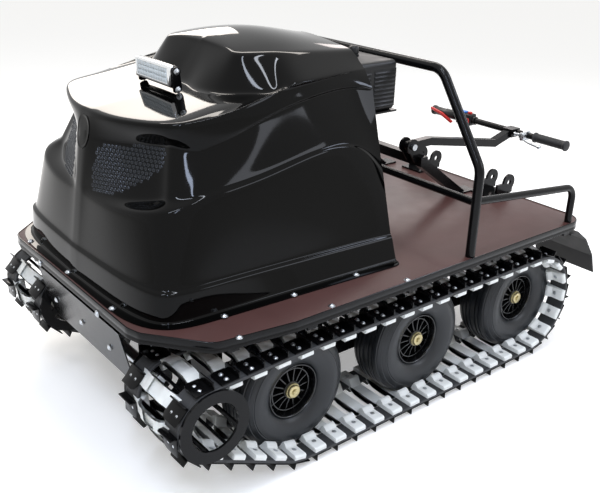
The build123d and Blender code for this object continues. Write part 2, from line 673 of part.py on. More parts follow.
bolt += rod((PIVOT_X, TILLER_Y - bolt_reach - 4, PIVOT_Z), 10.0, 8.0, "Y")
save("tiller_bolt", bolt)

# Tiller: arm, handlebar and grips
arm = side_plate(strip_outline(TILLER_LINE, TILLER_TUBE), TILLER_Y - TILLER_TUBE / 2, TILLER_Y + TILLER_TUBE / 2)
arm += rod((PIVOT_X, TILLER_Y, PIVOT_Z), TILLER_TUBE / 2 + 3, TILLER_TUBE, "Y")
arm += block((BAR_X - 14, BAR_X + 32), (TILLER_Y - 20, TILLER_Y + 20), (BAR_Z - 14, BAR_Z + 14))
arm -= rod((PIVOT_X, TILLER_Y, PIVOT_Z), PIVOT_BOLT_RADIUS + SEAT, 100.0, "Y")
arm -= rod((BAR_X, 0, BAR_Z), BAR_TUBE_RADIUS + SEAT, 1000.0, "Y")
save("tiller_arm", arm)
save("handlebar", rod((BAR_X, 0, BAR_Z), BAR_TUBE_RADIUS, 2 * BAR_HALF_LENGTH, "Y"))
grip = rod((BAR_X, BAR_HALF_LENGTH - GRIP_LENGTH / 2 + 5, BAR_Z), GRIP_RADIUS, GRIP_LENGTH, "Y")
grip -= rod((BAR_X, BAR_HALF_LENGTH - GRIP_LENGTH / 2, BAR_Z), BAR_TUBE_RADIUS + SEAT, GRIP_LENGTH, "Y")
save("left_grip", grip)
throttle = rod((BAR_X, -BAR_HALF_LENGTH + 105, BAR_Z), 17.0, 200.0, "Y")
throttle += block((BAR_X - 18, BAR_X + 24), (-130, -85), (BAR_Z - 24, BAR_Z + 36))
throttle -= rod((BAR_X, -200, BAR_Z), BAR_TUBE_RADIUS + SEAT, 400.0, "Y")
save("throttle_grip", throttle)
clamp = block((BAR_X - 18, BAR_X + 20), (128, 150), (BAR_Z - 18, BAR_Z + 18))
clamp -= rod((BAR_X, 140, BAR_Z), BAR_TUBE_RADIUS + SEAT, 60.0, "Y")
save("brake_clamp", clamp)
lever = side_plate(((0, 0), (8, 0), (8, 8), (0, 8)), 0, 8)
lever = block((BAR_X + 20, BAR_X + 32), (132, 146), (BAR_Z - 6, BAR_Z + 6))
lever += Pos(BAR_X + 34, 215, BAR_Z - 4) * Box(8, 165, 10)
save("brake_lever", lever)

# Tow clevises on the deck's rear edge
tow = Compound()
low_z = DECK_TOP_Z
for side in (1, -1):
    y = CLEVIS_Y + side * (CLEVIS_GAP / 2 + CLEVIS_PLATE / 2)
    ear = block((CLEVIS_X - 20, CLEVIS_X + 60), (y - CLEVIS_PLATE / 2, y + CLEVIS_PLATE / 2), (low_z + 2, CLEVIS_Z))
    ear += rod((CLEVIS_X, y, CLEVIS_Z), CLEVIS_RADIUS, CLEVIS_PLATE, "Y")
    tow = ear if side == 1 else tow + ear
tow += block((CLEVIS_X - 4, CLEVIS_X + 90), (CLEVIS_Y - CLEVIS_GAP / 2 - 14, CLEVIS_Y + CLEVIS_GAP / 2 + 14), (low_z, low_z + 6))
tow -= rod((CLEVIS_X, CLEVIS_Y, CLEVIS_Z), CLEVIS_BORE, 200.0, "Y")
tow -= block((-900, DECK_REAR_X + 8), (-500, 500), (300, DECK_TOP_Z + RIM_BAND_LIP + 0.5))
save("left_tow_clevis", tow)
save("right_tow_clevis", mirror(tow, about=right))

# Mud flaps behind the tracks
flap_z = rim_low - SEAT - FLAP_THICK / 2
flap_line = [(FLAP_DROPS[0][0] + FLAP_SEAT, flap_z)] + [(x, flap_z - drop) for x, drop in FLAP_DROPS]
flap = side_plate(strip_outline(flap_line, FLAP_THICK), *FLAP_Y)
save("left_mud_flap", flap)
save("right_mud_flap", mirror(flap, about=right))
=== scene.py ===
"""Dresses the tracked snow tug: finishes, fine pieces, studio and camera."""
import logging
import math
from dataclasses import dataclass, field
from enum import Enum
from typing import Iterable, Sequence

import bpy
import bmesh
from mathutils import Matrix, Vector

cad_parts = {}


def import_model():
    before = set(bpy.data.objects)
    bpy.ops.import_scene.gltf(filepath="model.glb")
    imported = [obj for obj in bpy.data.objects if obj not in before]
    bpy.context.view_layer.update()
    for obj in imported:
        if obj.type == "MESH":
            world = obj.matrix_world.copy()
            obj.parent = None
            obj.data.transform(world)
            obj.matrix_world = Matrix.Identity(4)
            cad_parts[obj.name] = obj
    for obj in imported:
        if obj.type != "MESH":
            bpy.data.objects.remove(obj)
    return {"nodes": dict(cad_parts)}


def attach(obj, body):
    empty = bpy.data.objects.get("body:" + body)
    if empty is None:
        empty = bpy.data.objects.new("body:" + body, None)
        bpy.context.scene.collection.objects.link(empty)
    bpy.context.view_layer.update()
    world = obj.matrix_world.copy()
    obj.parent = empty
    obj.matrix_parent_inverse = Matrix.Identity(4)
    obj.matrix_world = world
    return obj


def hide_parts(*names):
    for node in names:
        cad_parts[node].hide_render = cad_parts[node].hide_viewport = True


LOG = logging.getLogger("snow_tug")
MM = 0.001

Colour = tuple[float, float, float, float]
Point = tuple[float, float, float]
ORIGIN: Point = (0.0, 0.0, 0.0)
Piece = bpy.types.Object
Tree = bpy.types.NodeTree
Socket = bpy.types.NodeSocket


def linear(hex_colour: str) -> Colour:
    """Turn an sRGB hex colour into linear light.

    Args:
        hex_colour: six hex digits after a hash mark.

    Returns:
        Red, green, blue and an alpha of 1.
    """
    parts = [int(hex_colour[i : i + 2], 16) / 255 for i in (1, 3, 5)]
    light = [c / 12.92 if c <= 0.04045 else ((c + 0.055) / 1.055) ** 2.4 for c in parts]
    return (*light, 1.0)


def add_node(tree: Tree, kind: str, inputs: dict | None = None, **settings: object) -> bpy.types.Node:
    """Add a shader node with its values, links and settings.

    Args:
        tree: the node tree that takes it.
        kind: the node's type name, without the start that all share.
        inputs: a value or an output socket for each named or numbered input.
        settings: the node's own properties.

    Returns:
        The new node.
    """
    node = tree.nodes.new("ShaderNode" + kind)
    for name, value in settings.items():
        setattr(node, name, value)
    for name, value in (inputs or {}).items():
        if isinstance(value, Socket):
            tree.links.new(value, node.inputs[name])
        else:
            node.inputs[name].default_value = value
    return node


class Axis(Enum):
    """The way a turned or drawn piece lies, as the turn that brings Z onto it."""

    X = (0.0, math.pi / 2, 0.0)
    Y = (math.pi / 2, 0.0, 0.0)
    Z = (0.0, 0.0, 0.0)


class Body(Enum):
    """The two bodies that pieces ride on."""

    VEHICLE = "vehicle"
    TILLER = "tiller"


def metres(point: Sequence[float]) -> Vector:
    """Turn a point in millimetres into metres."""
    return Vector(point) * MM


def link(name: str, data: bpy.types.ID) -> Piece:
    """Put new data into the scene as an object.

    Args:
        name: the object's name.
        data: its mesh, curve, light or camera.

    Returns:
        The object.
    """
    piece = bpy.data.objects.new(name, data)
    bpy.context.scene.collection.objects.link(piece)
    return piece


def deselect() -> None:
    """Leave edit mode and select nothing."""
    if bpy.context.mode != "OBJECT":
        bpy.ops.object.mode_set(mode="OBJECT")
    bpy.ops.object.select_all(action="DESELECT")


def take(piece: Piece) -> None:
    """Select one piece alone and make it the active one."""
    deselect()
    piece.select_set(True)
    bpy.context.view_layer.objects.active = piece


def edit(piece: Piece, kind: str = "EDGE", whole: bool = False) -> None:
    """Open a piece in edit mode, with all of it selected or nothing.

    Args:
        piece: the piece to open.
        kind: what is selected, such as EDGE or FACE.
        whole: whether all of it is selected.
    """
    take(piece)
    bpy.ops.object.mode_set(mode="EDIT")
    bpy.ops.mesh.select_mode(type=kind)
    bpy.ops.mesh.select_all(action="SELECT" if whole else "DESELECT")


def settle(name: str) -> Piece:
    """Name the new active piece and put its place into its mesh.

    Args:
        name: the piece's name.

    Returns:
        The piece, at the origin.
    """
    piece = bpy.context.object
    piece.name = name
    piece.data.name = name
    bpy.ops.object.transform_apply(location=True, rotation=True, scale=True)
    return piece


def round_edges(piece: Piece, width: float, segments: int = 2, sharp: float = 40.0) -> None:
    """Round the sharp edges of a piece.

    Args:
        piece: the piece to work on.
        width: the rounding's width in millimetres.
        segments: how many faces make the rounding.
        sharp: the least angle in degrees that counts as sharp.
    """
    edit(piece)
    bpy.ops.mesh.edges_select_sharp(sharpness=math.radians(sharp))
    bpy.ops.mesh.bevel(offset=width * MM, segments=segments, affect="EDGES", clamp_overlap=True)
    bpy.ops.object.mode_set(mode="OBJECT")


def from_points(name: str, points: Sequence[Sequence[float]], edges: list, faces: list) -> Piece:
    """Make a piece from points in millimetres.

    Args:
        name: the piece's name.
        points: its points in millimetres.
        edges: its loose edges, as pairs of point numbers.
        faces: its faces, as tuples of point numbers.

    Returns:
        The piece.
    """
    mesh = bpy.data.meshes.new(name)
    mesh.from_pydata([metres(p) for p in points], edges, faces)
    return link(name, mesh)


def heal(piece: Piece, gap: float = 0.02) -> None:
    """Merge a piece's doubled points and turn its faces outwards.

    Args:
        piece: the piece to mend.
        gap: the distance at which points are merged, in millimetres.
    """
    edit(piece, whole=True)
    bpy.ops.mesh.remove_doubles(threshold=gap * MM)
    bpy.ops.mesh.normals_make_consistent(inside=False)
    bpy.ops.object.mode_set(mode="OBJECT")


def woven(
    name: str,
    rows: Sequence[Sequence[Point]],
    ring: bool = True,
    loop: bool = True,
    gap: float = 0.02,
) -> Piece:
    """Make a piece of four-sided faces between rows of points.

    Args:
        name: the piece's name.
        rows: rows of equally many points, in millimetres.
        ring: whether each row closes on itself.
        loop: whether the last row meets the first.
        gap: the distance at which points are merged.

    Returns:
        The piece.
    """
    count, n = len(rows), len(rows[0])
    faces = []
    for i in range(count if loop else count - 1):
        for k in range(n if ring else n - 1):
            a, b = i * n, (i + 1) % count * n
            m = (k + 1) % n
            faces.append((a + k, a + m, b + m, b + k))
    piece = from_points(name, [point for row in rows for point in row], [], faces)
    heal(piece, gap)
    return piece


def block(name: str, low: Point, high: Point, edge: float = 1.0, segments: int = 2) -> Piece:
    """A rounded block between two corners.

    Args:
        name: the piece's name.
        low: its lowest corner in millimetres.
        high: its highest corner in millimetres.
        edge: the width of its rounded edges.
        segments: how many faces make each rounding.

    Returns:
        The piece.
    """
    deselect()
    size = [(b - a) * MM for a, b in zip(low, high)]
    place = [(a + b) / 2 * MM for a, b in zip(low, high)]
    bpy.ops.mesh.primitive_cube_add(size=1, location=place, scale=size)
    piece = settle(name)
    round_edges(piece, edge, segments)
    return piece


def rod(
    name: str,
    place: Point,
    radius: float,
    length: float,
    axis: Axis = Axis.Y,
    edge: float = 0.8,
    sides: int = 32,
) -> Piece:
    """A round bar with softened ends.

    Args:
        name: the piece's name.
        place: its middle in millimetres.
        radius: its radius.
        length: its length.
        axis: the way it lies.
        edge: the width of the softening at its ends.
        sides: how many sides it has.

    Returns:
        The piece.
    """
    deselect()
    bpy.ops.mesh.primitive_cylinder_add(
        vertices=sides, radius=radius * MM, depth=length * MM, location=metres(place), rotation=axis.value
    )
    piece = settle(name)
    round_edges(piece, edge, 2, 60.0)
    return piece


def lathe(
    name: str, section: Sequence[tuple[float, float]], place: Point, steps: int = 48, closed: bool = False
) -> Piece:
    """Spin a section about an axis that lies along Y.

    Args:
        name: the piece's name.
        section: its points, as (distance along Y, radius).
        place: the axis's origin in millimetres.
        steps: how many steps make the turn.
        closed: whether the section is a loop.

    Returns:
        The piece.
    """
    points = [(place[0] + r, place[1] + along, place[2]) for along, r in section]
    edges = [(i, i + 1) for i in range(len(points) - 1)]
    if closed:
        edges.append((len(points) - 1, 0))
    piece = from_points(name, points, edges, [])
    edit(piece, whole=True)
    bpy.ops.mesh.spin(steps=steps, angle=2 * math.pi, center=metres(place), axis=(0, 1, 0))
    heal(piece)
    return piece


def plate(
    name: str, outline: Sequence[tuple[float, float]], axis: Axis, low: float, high: float, edge: float = 0.6
) -> Piece:
    """Cut an outline from sheet of a given thickness.

    Args:
        name: the piece's name.
        outline: its corners in the two other axes, in their order.
        axis: the sheet's normal.
        low: where the sheet starts along that axis.
        high: where it ends.
        edge: the width of its rounded edges.

    Returns:
        The piece.
    """
    rows = {
        Axis.X: [(low, a, b) for a, b in outline],
        Axis.Y: [(a, low, b) for a, b in outline],
        Axis.Z: [(a, b, low) for a, b in outline],
    }
    step = {Axis.X: (1, 0, 0), Axis.Y: (0, 1, 0), Axis.Z: (0, 0, 1)}[axis]
    piece = from_points(name, rows[axis], [], [tuple(range(len(outline)))])
    edit(piece, "FACE", whole=True)
    move = Vector(step) * (high - low) * MM
    bpy.ops.mesh.extrude_region_move(TRANSFORM_OT_translate={"value": move})
    heal(piece)
    if edge > 0:
        round_edges(piece, edge)
    return piece


def tube(name: str, points: Sequence[Point], radius: float, closed: bool = False) -> Piece:
    """Bend a round wire or tube through points.

    Args:
        name: the piece's name.
        points: the points that draw its middle line, in millimetres.
        radius: its radius.
        closed: whether it is a loop.

    Returns:
        The piece, as a mesh.
    """
    curve = bpy.data.curves.new(name, "CURVE")
    curve.dimensions = "3D"
    spline = curve.splines.new("NURBS")
    spline.points.add(len(points) - 1)
    for target, point in zip(spline.points, points):
        target.co = (*metres(point), 1.0)
    spline.use_cyclic_u = closed
    spline.order_u = 3
    spline.use_endpoint_u = not closed
    spline.resolution_u = 8
    curve.bevel_depth = radius * MM
    curve.bevel_resolution = 4
    curve.use_fill_caps = True
    take(link(name, curve))
    bpy.ops.object.convert(target="MESH")
    wire = bpy.context.object
    heal(wire)
    return wire


def stood(piece: Piece) -> Piece:
    """Turn a lathed piece so that its axis stands along Z."""
    piece.data.transform(Matrix.Rotation(math.pi / 2, 4, "X"))
    return piece


def spread(name: str, model: Piece, places: Iterable[Matrix]) -> Piece:
    """Copy a model to many places, in one piece, and remove the model.

    Args:
        name: the new piece's name.
        model: the piece to repeat.
        places: where each copy goes, in metres.

    Returns:
        The new piece.
    """
    whole = bmesh.new()
    for place in places:
        part = model.data.copy()
        part.transform(place)
        whole.from_mesh(part)
        bpy.data.meshes.remove(part)
    mesh = bpy.data.meshes.new(name)
    whole.to_mesh(mesh)
    whole.free()
    bpy.data.objects.remove(model)
    return link(name, mesh)


def joined(name: str, pieces: Sequence[Piece]) -> Piece:
    """Join pieces of one finish into one object.

    Args:
        name: the whole's name.
        pieces: the pieces, of which the first takes in the others.

    Returns:
        The whole.
    """
    deselect()
    for piece in pieces:
        piece.select_set(True)
    bpy.context.view_layer.objects.active = pieces[0]
    bpy.ops.object.join()
    whole = bpy.context.object
    whole.name = name
    whole.data.name = name
    return whole


def mirrored(name: str, piece: Piece) -> Piece:
    """Copy a piece to the other side of the vehicle's middle plane.

    Args:
        name: the copy's name.
        piece: the piece to copy.

    Returns:
        The copy.
    """
    mesh = piece.data.copy()
    mesh.name = name
    mesh.transform(Matrix.Diagonal((1, -1, 1, 1)))
    mesh.flip_normals()
    return link(name, mesh)


def modify(piece: Piece, kind: str, **settings: object) -> None:
    """Add one modifier to a piece and apply it.

    Args:
        piece: the piece to change.
        kind: the modifier's type.
        settings: its settings by name.
    """
    take(piece)
    modifier = piece.modifiers.new(kind.lower(), kind)
    for name, value in settings.items():
        setattr(modifier, name, value)
    bpy.ops.object.modifier_apply(modifier=modifier.name)


def present(
    piece: Piece,
    finish: "Finish",
    body: Body = Body.VEHICLE,
    stands_for: Sequence[str] = (),
    smooth: float = 35.0,
) -> Piece:
    """Give a finished piece its finish, its shading and its body.

    Args:
        piece: the finished piece.
        finish: its finish.
        body: the body that it rides on.
        stands_for: the CAD nodes that it replaces.
        smooth: the angle in degrees up to which it is shaded smooth.

    Returns:
        The piece.
    """
    take(piece)
    bpy.ops.object.shade_smooth_by_angle(angle=math.radians(smooth))
    piece.data.materials.clear()
    piece.data.materials.append(finish.material())
    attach(piece, body.value)
    if stands_for:
        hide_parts(*stands_for)
    LOG.info("%s: %d faces, %s", piece.name, len(piece.data.polygons), finish.name)
    return piece


def frame_at(place: Sequence[float], up: Sequence[float], ahead: Sequence[float] = (1, 0, 0)) -> Matrix:
    """A place whose Z axis points one way, with X as near as it can be to another.

    Args:
        place: the origin in millimetres.
        up: where its Z axis points.
        ahead: roughly where its X axis points.

    Returns:
        The placing, in metres.
    """
    z = Vector(up).normalized()
    y = z.cross(Vector(ahead)).normalized()
    x = y.cross(z)
    place_matrix = Matrix((x, y, z)).transposed().to_4x4()
    place_matrix.translation = metres(place)
    return place_matrix


def rounded(corners: Sequence[tuple[float, float, float]], inset: float = 0.0, steps: int = 8) -> list:
    """Draw a closed outline with its corners rounded, drawn in by an even inset.

    Args:
        corners: x, y and the rounding's radius at each corner, going round to the left.
        inset: how far inside the outline to draw.
        steps: how many runs make each rounding.

    Returns:
        The outline's points.
    """
    count = len(corners)
    lines = []
    for i in range(count):
        a = Vector(corners[i][:2])
        b = Vector(corners[(i + 1) % count][:2])
        way = (b - a).normalized()
        lines.append((a + Vector((-way.y, way.x)) * inset, way))
    points = []
    for i in range(count):
        (a, before), (b, after) = lines[i - 1], lines[i]
        turn = before.x * after.y - before.y * after.x
        reach = ((b - a).x * after.y - (b - a).y * after.x) / turn
        corner = a + before * reach
        angle = math.atan2(turn, before.dot(after))
        radius = max(corners[i][2] - (inset if angle > 0 else -inset), 0.5)
        back = radius * math.tan(abs(angle) / 2)
        side = 1 if angle > 0 else -1
        centre = corner - before * back + Vector((-before.y, before.x)) * radius * side
        spoke = (corner - before * back) - centre
        for k in range(steps + 1):
            c, s = math.cos(angle * k / steps), math.sin(angle * k / steps)
            points.append((centre.x + spoke.x * c - spoke.y * s, centre.y + spoke.x * s + spoke.y * c))
    return points


@dataclass
class Bolts:
    """Zinc fasteners: low dome heads on a washer, or hexagon heads."""

    head_radius: float = 7.0
    head_height: float = 4.0
    washer_radius: float = 9.0
    washer_thick: float = 1.2

    def measures(self, size: float) -> list[float]:
        """The head's radius and height, then the washer's radius and thickness, at one size."""
        usual = (self.head_radius, self.head_height, self.washer_radius, self.washer_thick)
        return [size * value for value in usual]

    def dome(self, size: float = 1.0) -> Piece:
        """One dome head with a driver recess, standing on its seat along Z.

        Args:
            size: its size against the usual one.

        Returns:
            The head, at the origin.
        """
        r, h, w, t = self.measures(size)
        section = [(0, 0.01), (0, w), (t * 0.7, w), (t, w * 0.94), (t, r), (t + h * 0.45, r * 0.93)]
        section += [(t + h * 0.8, r * 0.68), (t + h, r * 0.36), (t + h * 0.5, r * 0.3), (t + h * 0.5, 0.01)]
        return stood(lathe("head", section, ORIGIN, 16))

    def hexagon(self, size: float = 1.0) -> Piece:
        """One hexagon head on a washer, standing on its seat along Z.

        Args:
            size: its size against the usual one.

        Returns:
            The head, at the origin.
        """
        r, h, w, t = self.measures(size)
        head = rod("hexagon", (0, 0, t + h / 2), r, h, Axis.Z, 0.5 * size, 6)
        disc = rod("washer", (0, 0, t / 2), w, t, Axis.Z, 0.3 * size, 20)
        stub = rod("stub", (0, 0, t + h + 0.8 * size), r * 0.5, 1.8 * size, Axis.Z, 0.4 * size, 12)
        return joined("head", [head, disc, stub])


# How far each finish's roughness varies, its least value, and the size of its clouds against the mottle's
ROUGHNESS_SWING = (0.8, 1.25)
LEAST_ROUGHNESS = 0.02
ROUGHNESS_CLOUD = 0.4


@dataclass(frozen=True)
class Finish:
    """One surface finish: what it is made of and how its surface was made."""

    name: str
    slot: str
    colour: str
    roughness: float
    metallic: float = 0.0
    ior: float = 1.5
    mottle: float = 0.06
    mottle_mm: float = 90.0
    grain_mm: float = 1.2
    grain_depth_mm: float = 0.02
    specular: float = 0.5

    def noise(self, tree: Tree, place: Socket, size_mm: float, detail: float) -> Socket:
        """A soft pattern of one size in the object's own space, from 0 to 1."""
        inputs = {"Vector": place, "Scale": 1000 / size_mm, "Detail": detail}
        return add_node(tree, "TexNoise", inputs).outputs["Fac"]

    def mottled(self, tree: Tree, place: Socket) -> Socket:
        """Vary the colour a little over the surface, as handling and light dust do.

        Args:
            tree: the material's node tree.
            place: the object coordinates in metres.

        Returns:
            The colour socket.
        """
        cloud = self.noise(tree, place, self.mottle_mm, 5.0)
        base = linear(self.colour)[:3]
        low, high = ((*[min(1.0, c * (1 + s * self.mottle * 2)) for c in base], 1.0) for s in (-1, 1))
        mix = add_node(tree, "Mix", {"Factor": cloud, "A": low, "B": high}, data_type="RGBA")
        return mix.outputs["Result"]

    def grain(self, tree: Tree, place: Socket) -> Socket:
        """The fine relief that moulding, rolling or spraying leaves.

        Args:
            tree: the material's node tree.
            place: the object coordinates in metres.

        Returns:
            The normal socket.
        """
        height = self.noise(tree, place, self.grain_mm, 3.0)
        depth = {"Strength": 1.0, "Distance": self.grain_depth_mm * MM}
        return add_node(tree, "Bump", {"Height": height, **depth}).outputs["Normal"]

    def roughened(self, tree: Tree, place: Socket) -> Socket:
        """Vary the roughness, so that highlights break up softly.

        Args:
            tree: the material's node tree.
            place: the object coordinates in metres.

        Returns:
            The roughness socket.
        """
        cloud = self.noise(tree, place, self.mottle_mm * ROUGHNESS_CLOUD, 6.0)
        low = max(self.roughness * ROUGHNESS_SWING[0], LEAST_ROUGHNESS)
        high = min(self.roughness * ROUGHNESS_SWING[1], 1.0)
        return add_node(tree, "MapRange", {"Value": cloud, "To Min": low, "To Max": high}).outputs["Result"]

    def material(self) -> bpy.types.Material:
        """Make or reuse the material of this finish.

        Returns:
            The material.
        """
        if self.name in bpy.data.materials:
            return bpy.data.materials[self.name]
        material = bpy.data.materials.new(self.name)
        material.use_nodes = True
        tree = material.node_tree
        tree.nodes.clear()
        place = add_node(tree, "TexCoord").outputs["Object"]
        inputs = {"Metallic": self.metallic, "IOR": self.ior, "Specular IOR Level": self.specular}
        inputs["Base Color"] = self.mottled(tree, place)
        inputs["Roughness"] = self.roughened(tree, place)
        inputs["Normal"] = self.grain(tree, place)
        shader = add_node(tree, "BsdfPrincipled", inputs)
        add_node(tree, "OutputMaterial", {"Surface": shader.outputs[0]})
        return material


# Vacuum-formed ABS with a gloss cap layer: deep black, mirror-like, with slight orange peel
HOOD_ABS = Finish(
    "vacuum_formed_gloss_abs",
    "hood_plastic",
    "#040404",
    0.05,
    ior=1.53,
    specular=0.12,
    mottle=0.03,
    grain_mm=14.0,
    grain_depth_mm=0.012,
)
# Powder-coated steel tube: black, with a soft-edged gloss and fine orange peel
POWDER_COAT = Finish(
    "powder_coated_steel", "black_gloss_paint", "#0a0a0b", 0.2, ior=1.52, specular=0.16, grain_mm=2.2,
    grain_depth_mm=0.03,
)
# Rolled rubber belt with fabric cords: dull dark grey, dusty in its low places
BELT_RUBBER = Finish(
    "rolled_belt_rubber", "track_rubber", "#2d2e30", 0.62, mottle=0.12, mottle_mm=40.0, grain_mm=0.9,
    grain_depth_mm=0.05,
)
# Injection-moulded polyethylene: waxy off-white that light soaks into
SADDLE_PE = Finish(
    "moulded_polyethylene", "white_polymer", "#eef0ed", 0.38, mottle=0.03, mottle_mm=30.0, grain_mm=3.0,
    grain_depth_mm=0.04,
)
# Cured tyre rubber: dark blue-grey with a faint sheen
TYRE_RUBBER = Finish(
    "cured_tyre_rubber", "tyre_rubber", "#15181c", 0.38, specular=0.4, mottle=0.08, mottle_mm=60.0,
    grain_mm=1.0, grain_depth_mm=0.04,
)
# Glass-filled nylon: satin black, with a fine eroded texture
NYLON = Finish(
    "glass_filled_nylon", "black_plastic", "#0f0f10", 0.4, specular=0.35, grain_mm=0.8, grain_depth_mm=0.03,
)
# Zinc-plated steel: pale bluish metal with cloudy passivation
ZINC = Finish(
    "zinc_plated_steel", "zinc_steel", "#c3c7cb", 0.3, metallic=1.0, mottle=0.08, mottle_mm=12.0,
    grain_mm=0.7, grain_depth_mm=0.02,
)
# Yellow-passivated zinc on the hub caps: straw-coloured metal
YELLOW_ZINC = Finish(
    "yellow_passivated_zinc", "zinc_steel", "#b9ad84", 0.32, metallic=1.0, mottle=0.14, mottle_mm=9.0,
    grain_mm=0.7, grain_depth_mm=0.02,
)
# Phenolic film on birch plywood: reddish brown, satin, with a pressed grain
FILM_PLYWOOD = Finish(
    "film_faced_plywood", "faced_plywood", "#4b312e", 0.34, specular=0.3, mottle=0.1, mottle_mm=120.0,
    grain_mm=2.4, grain_depth_mm=0.05,
)
# Sand-cast aluminium of the engine: grey, dull and granular
CASTING = Finish(
    "sand_cast_aluminium", "cast_metal", "#58595b", 0.55, metallic=0.7, grain_mm=1.6, grain_depth_mm=0.12,
)
# Extruded sheet rubber of the flaps: black and matt
SHEET_RUBBER = Finish(
    "extruded_sheet_rubber", "black_rubber", "#131314", 0.5, specular=0.35, mottle=0.1, grain_mm=1.0,
    grain_depth_mm=0.05,
)
# Moulded grip rubber: matt black
GRIP_RUBBER = Finish("moulded_grip_rubber", "black_rubber", "#141415", 0.6, grain_mm=0.9, grain_depth_mm=0.06)
# Clear polycarbonate lens
LENS = Finish(
    "clear_polycarbonate", "lamp_lens", "#e4ecee", 0.06, ior=1.58, mottle=0.01, grain_mm=6.0,
    grain_depth_mm=0.2,
)

# Gloss-moulded nylon of the road wheels: black with clear highlights
RIM_NYLON = Finish("gloss_moulded_nylon", "black_plastic", "#0e0e0f", 0.22, grain_mm=3.0, grain_depth_mm=0.02)
# Vacuum-metallised plastic of the lamp: a bright, nearly white mirror
CHROME = Finish(
    "metallised_plastic", "zinc_steel", "#eef0f2", 0.1, metallic=1.0, mottle=0.02, grain_mm=8.0,
    grain_depth_mm=0.01,
)
# Blackened wire of the pocket's pierced field: each rolled rim catches a cold glint
PIERCED_WIRE = Finish(
    "blackened_wire", "black_plastic", "#3a3d42", 0.22, metallic=1.0, mottle=0.1, mottle_mm=20.0,
    grain_mm=1.5, grain_depth_mm=0.02,
)
# Pigmented ABS of the thumb strip, stop button and hoop: signal red, satin
RED_ABS = Finish("pigmented_red_abs", "black_plastic", "#c8201c", 0.35, mottle=0.04, mottle_mm=20.0)
# Pigmented ABS of the slide switch: clear blue, satin
BLUE_ABS = Finish("pigmented_blue_abs", "black_plastic", "#2f7fd6", 0.35, mottle=0.04, mottle_mm=20.0)
# Painted shade for the unlit depth behind slots and holes: matt black that shows no highlight
PAINTED_SHADE = Finish("painted_shade_matt_black", "black_plastic", "#050505", 0.85, grain_mm=2.0)

SIDE_FINISHES: dict[str, Finish] = {
    "track_belts": BELT_RUBBER,
    "track_saddles": SADDLE_PE,
    "tyres": TYRE_RUBBER,
    "wheel_rims": NYLON,
    "mud_flap": SHEET_RUBBER,
}
NODE_FINISHES: dict[str, Finish] = {
    **{f"{side}_{name}": finish for side in ("left", "right") for name, finish in SIDE_FINISHES.items()},
    "hub_caps": YELLOW_ZINC,
    "wheel_axles": ZINC,
    "drive_shaft": ZINC,
    "tiller_bolt": ZINC,
    "deck_board": FILM_PLYWOOD,
    "hood_shell": HOOD_ABS,
    "engine_block": CASTING,
    "engine_cowl": NYLON,
    "fuel_cap": NYLON,
    "left_grip": GRIP_RUBBER,
    "throttle_grip": GRIP_RUBBER,
    "lamp_lens": LENS,
}

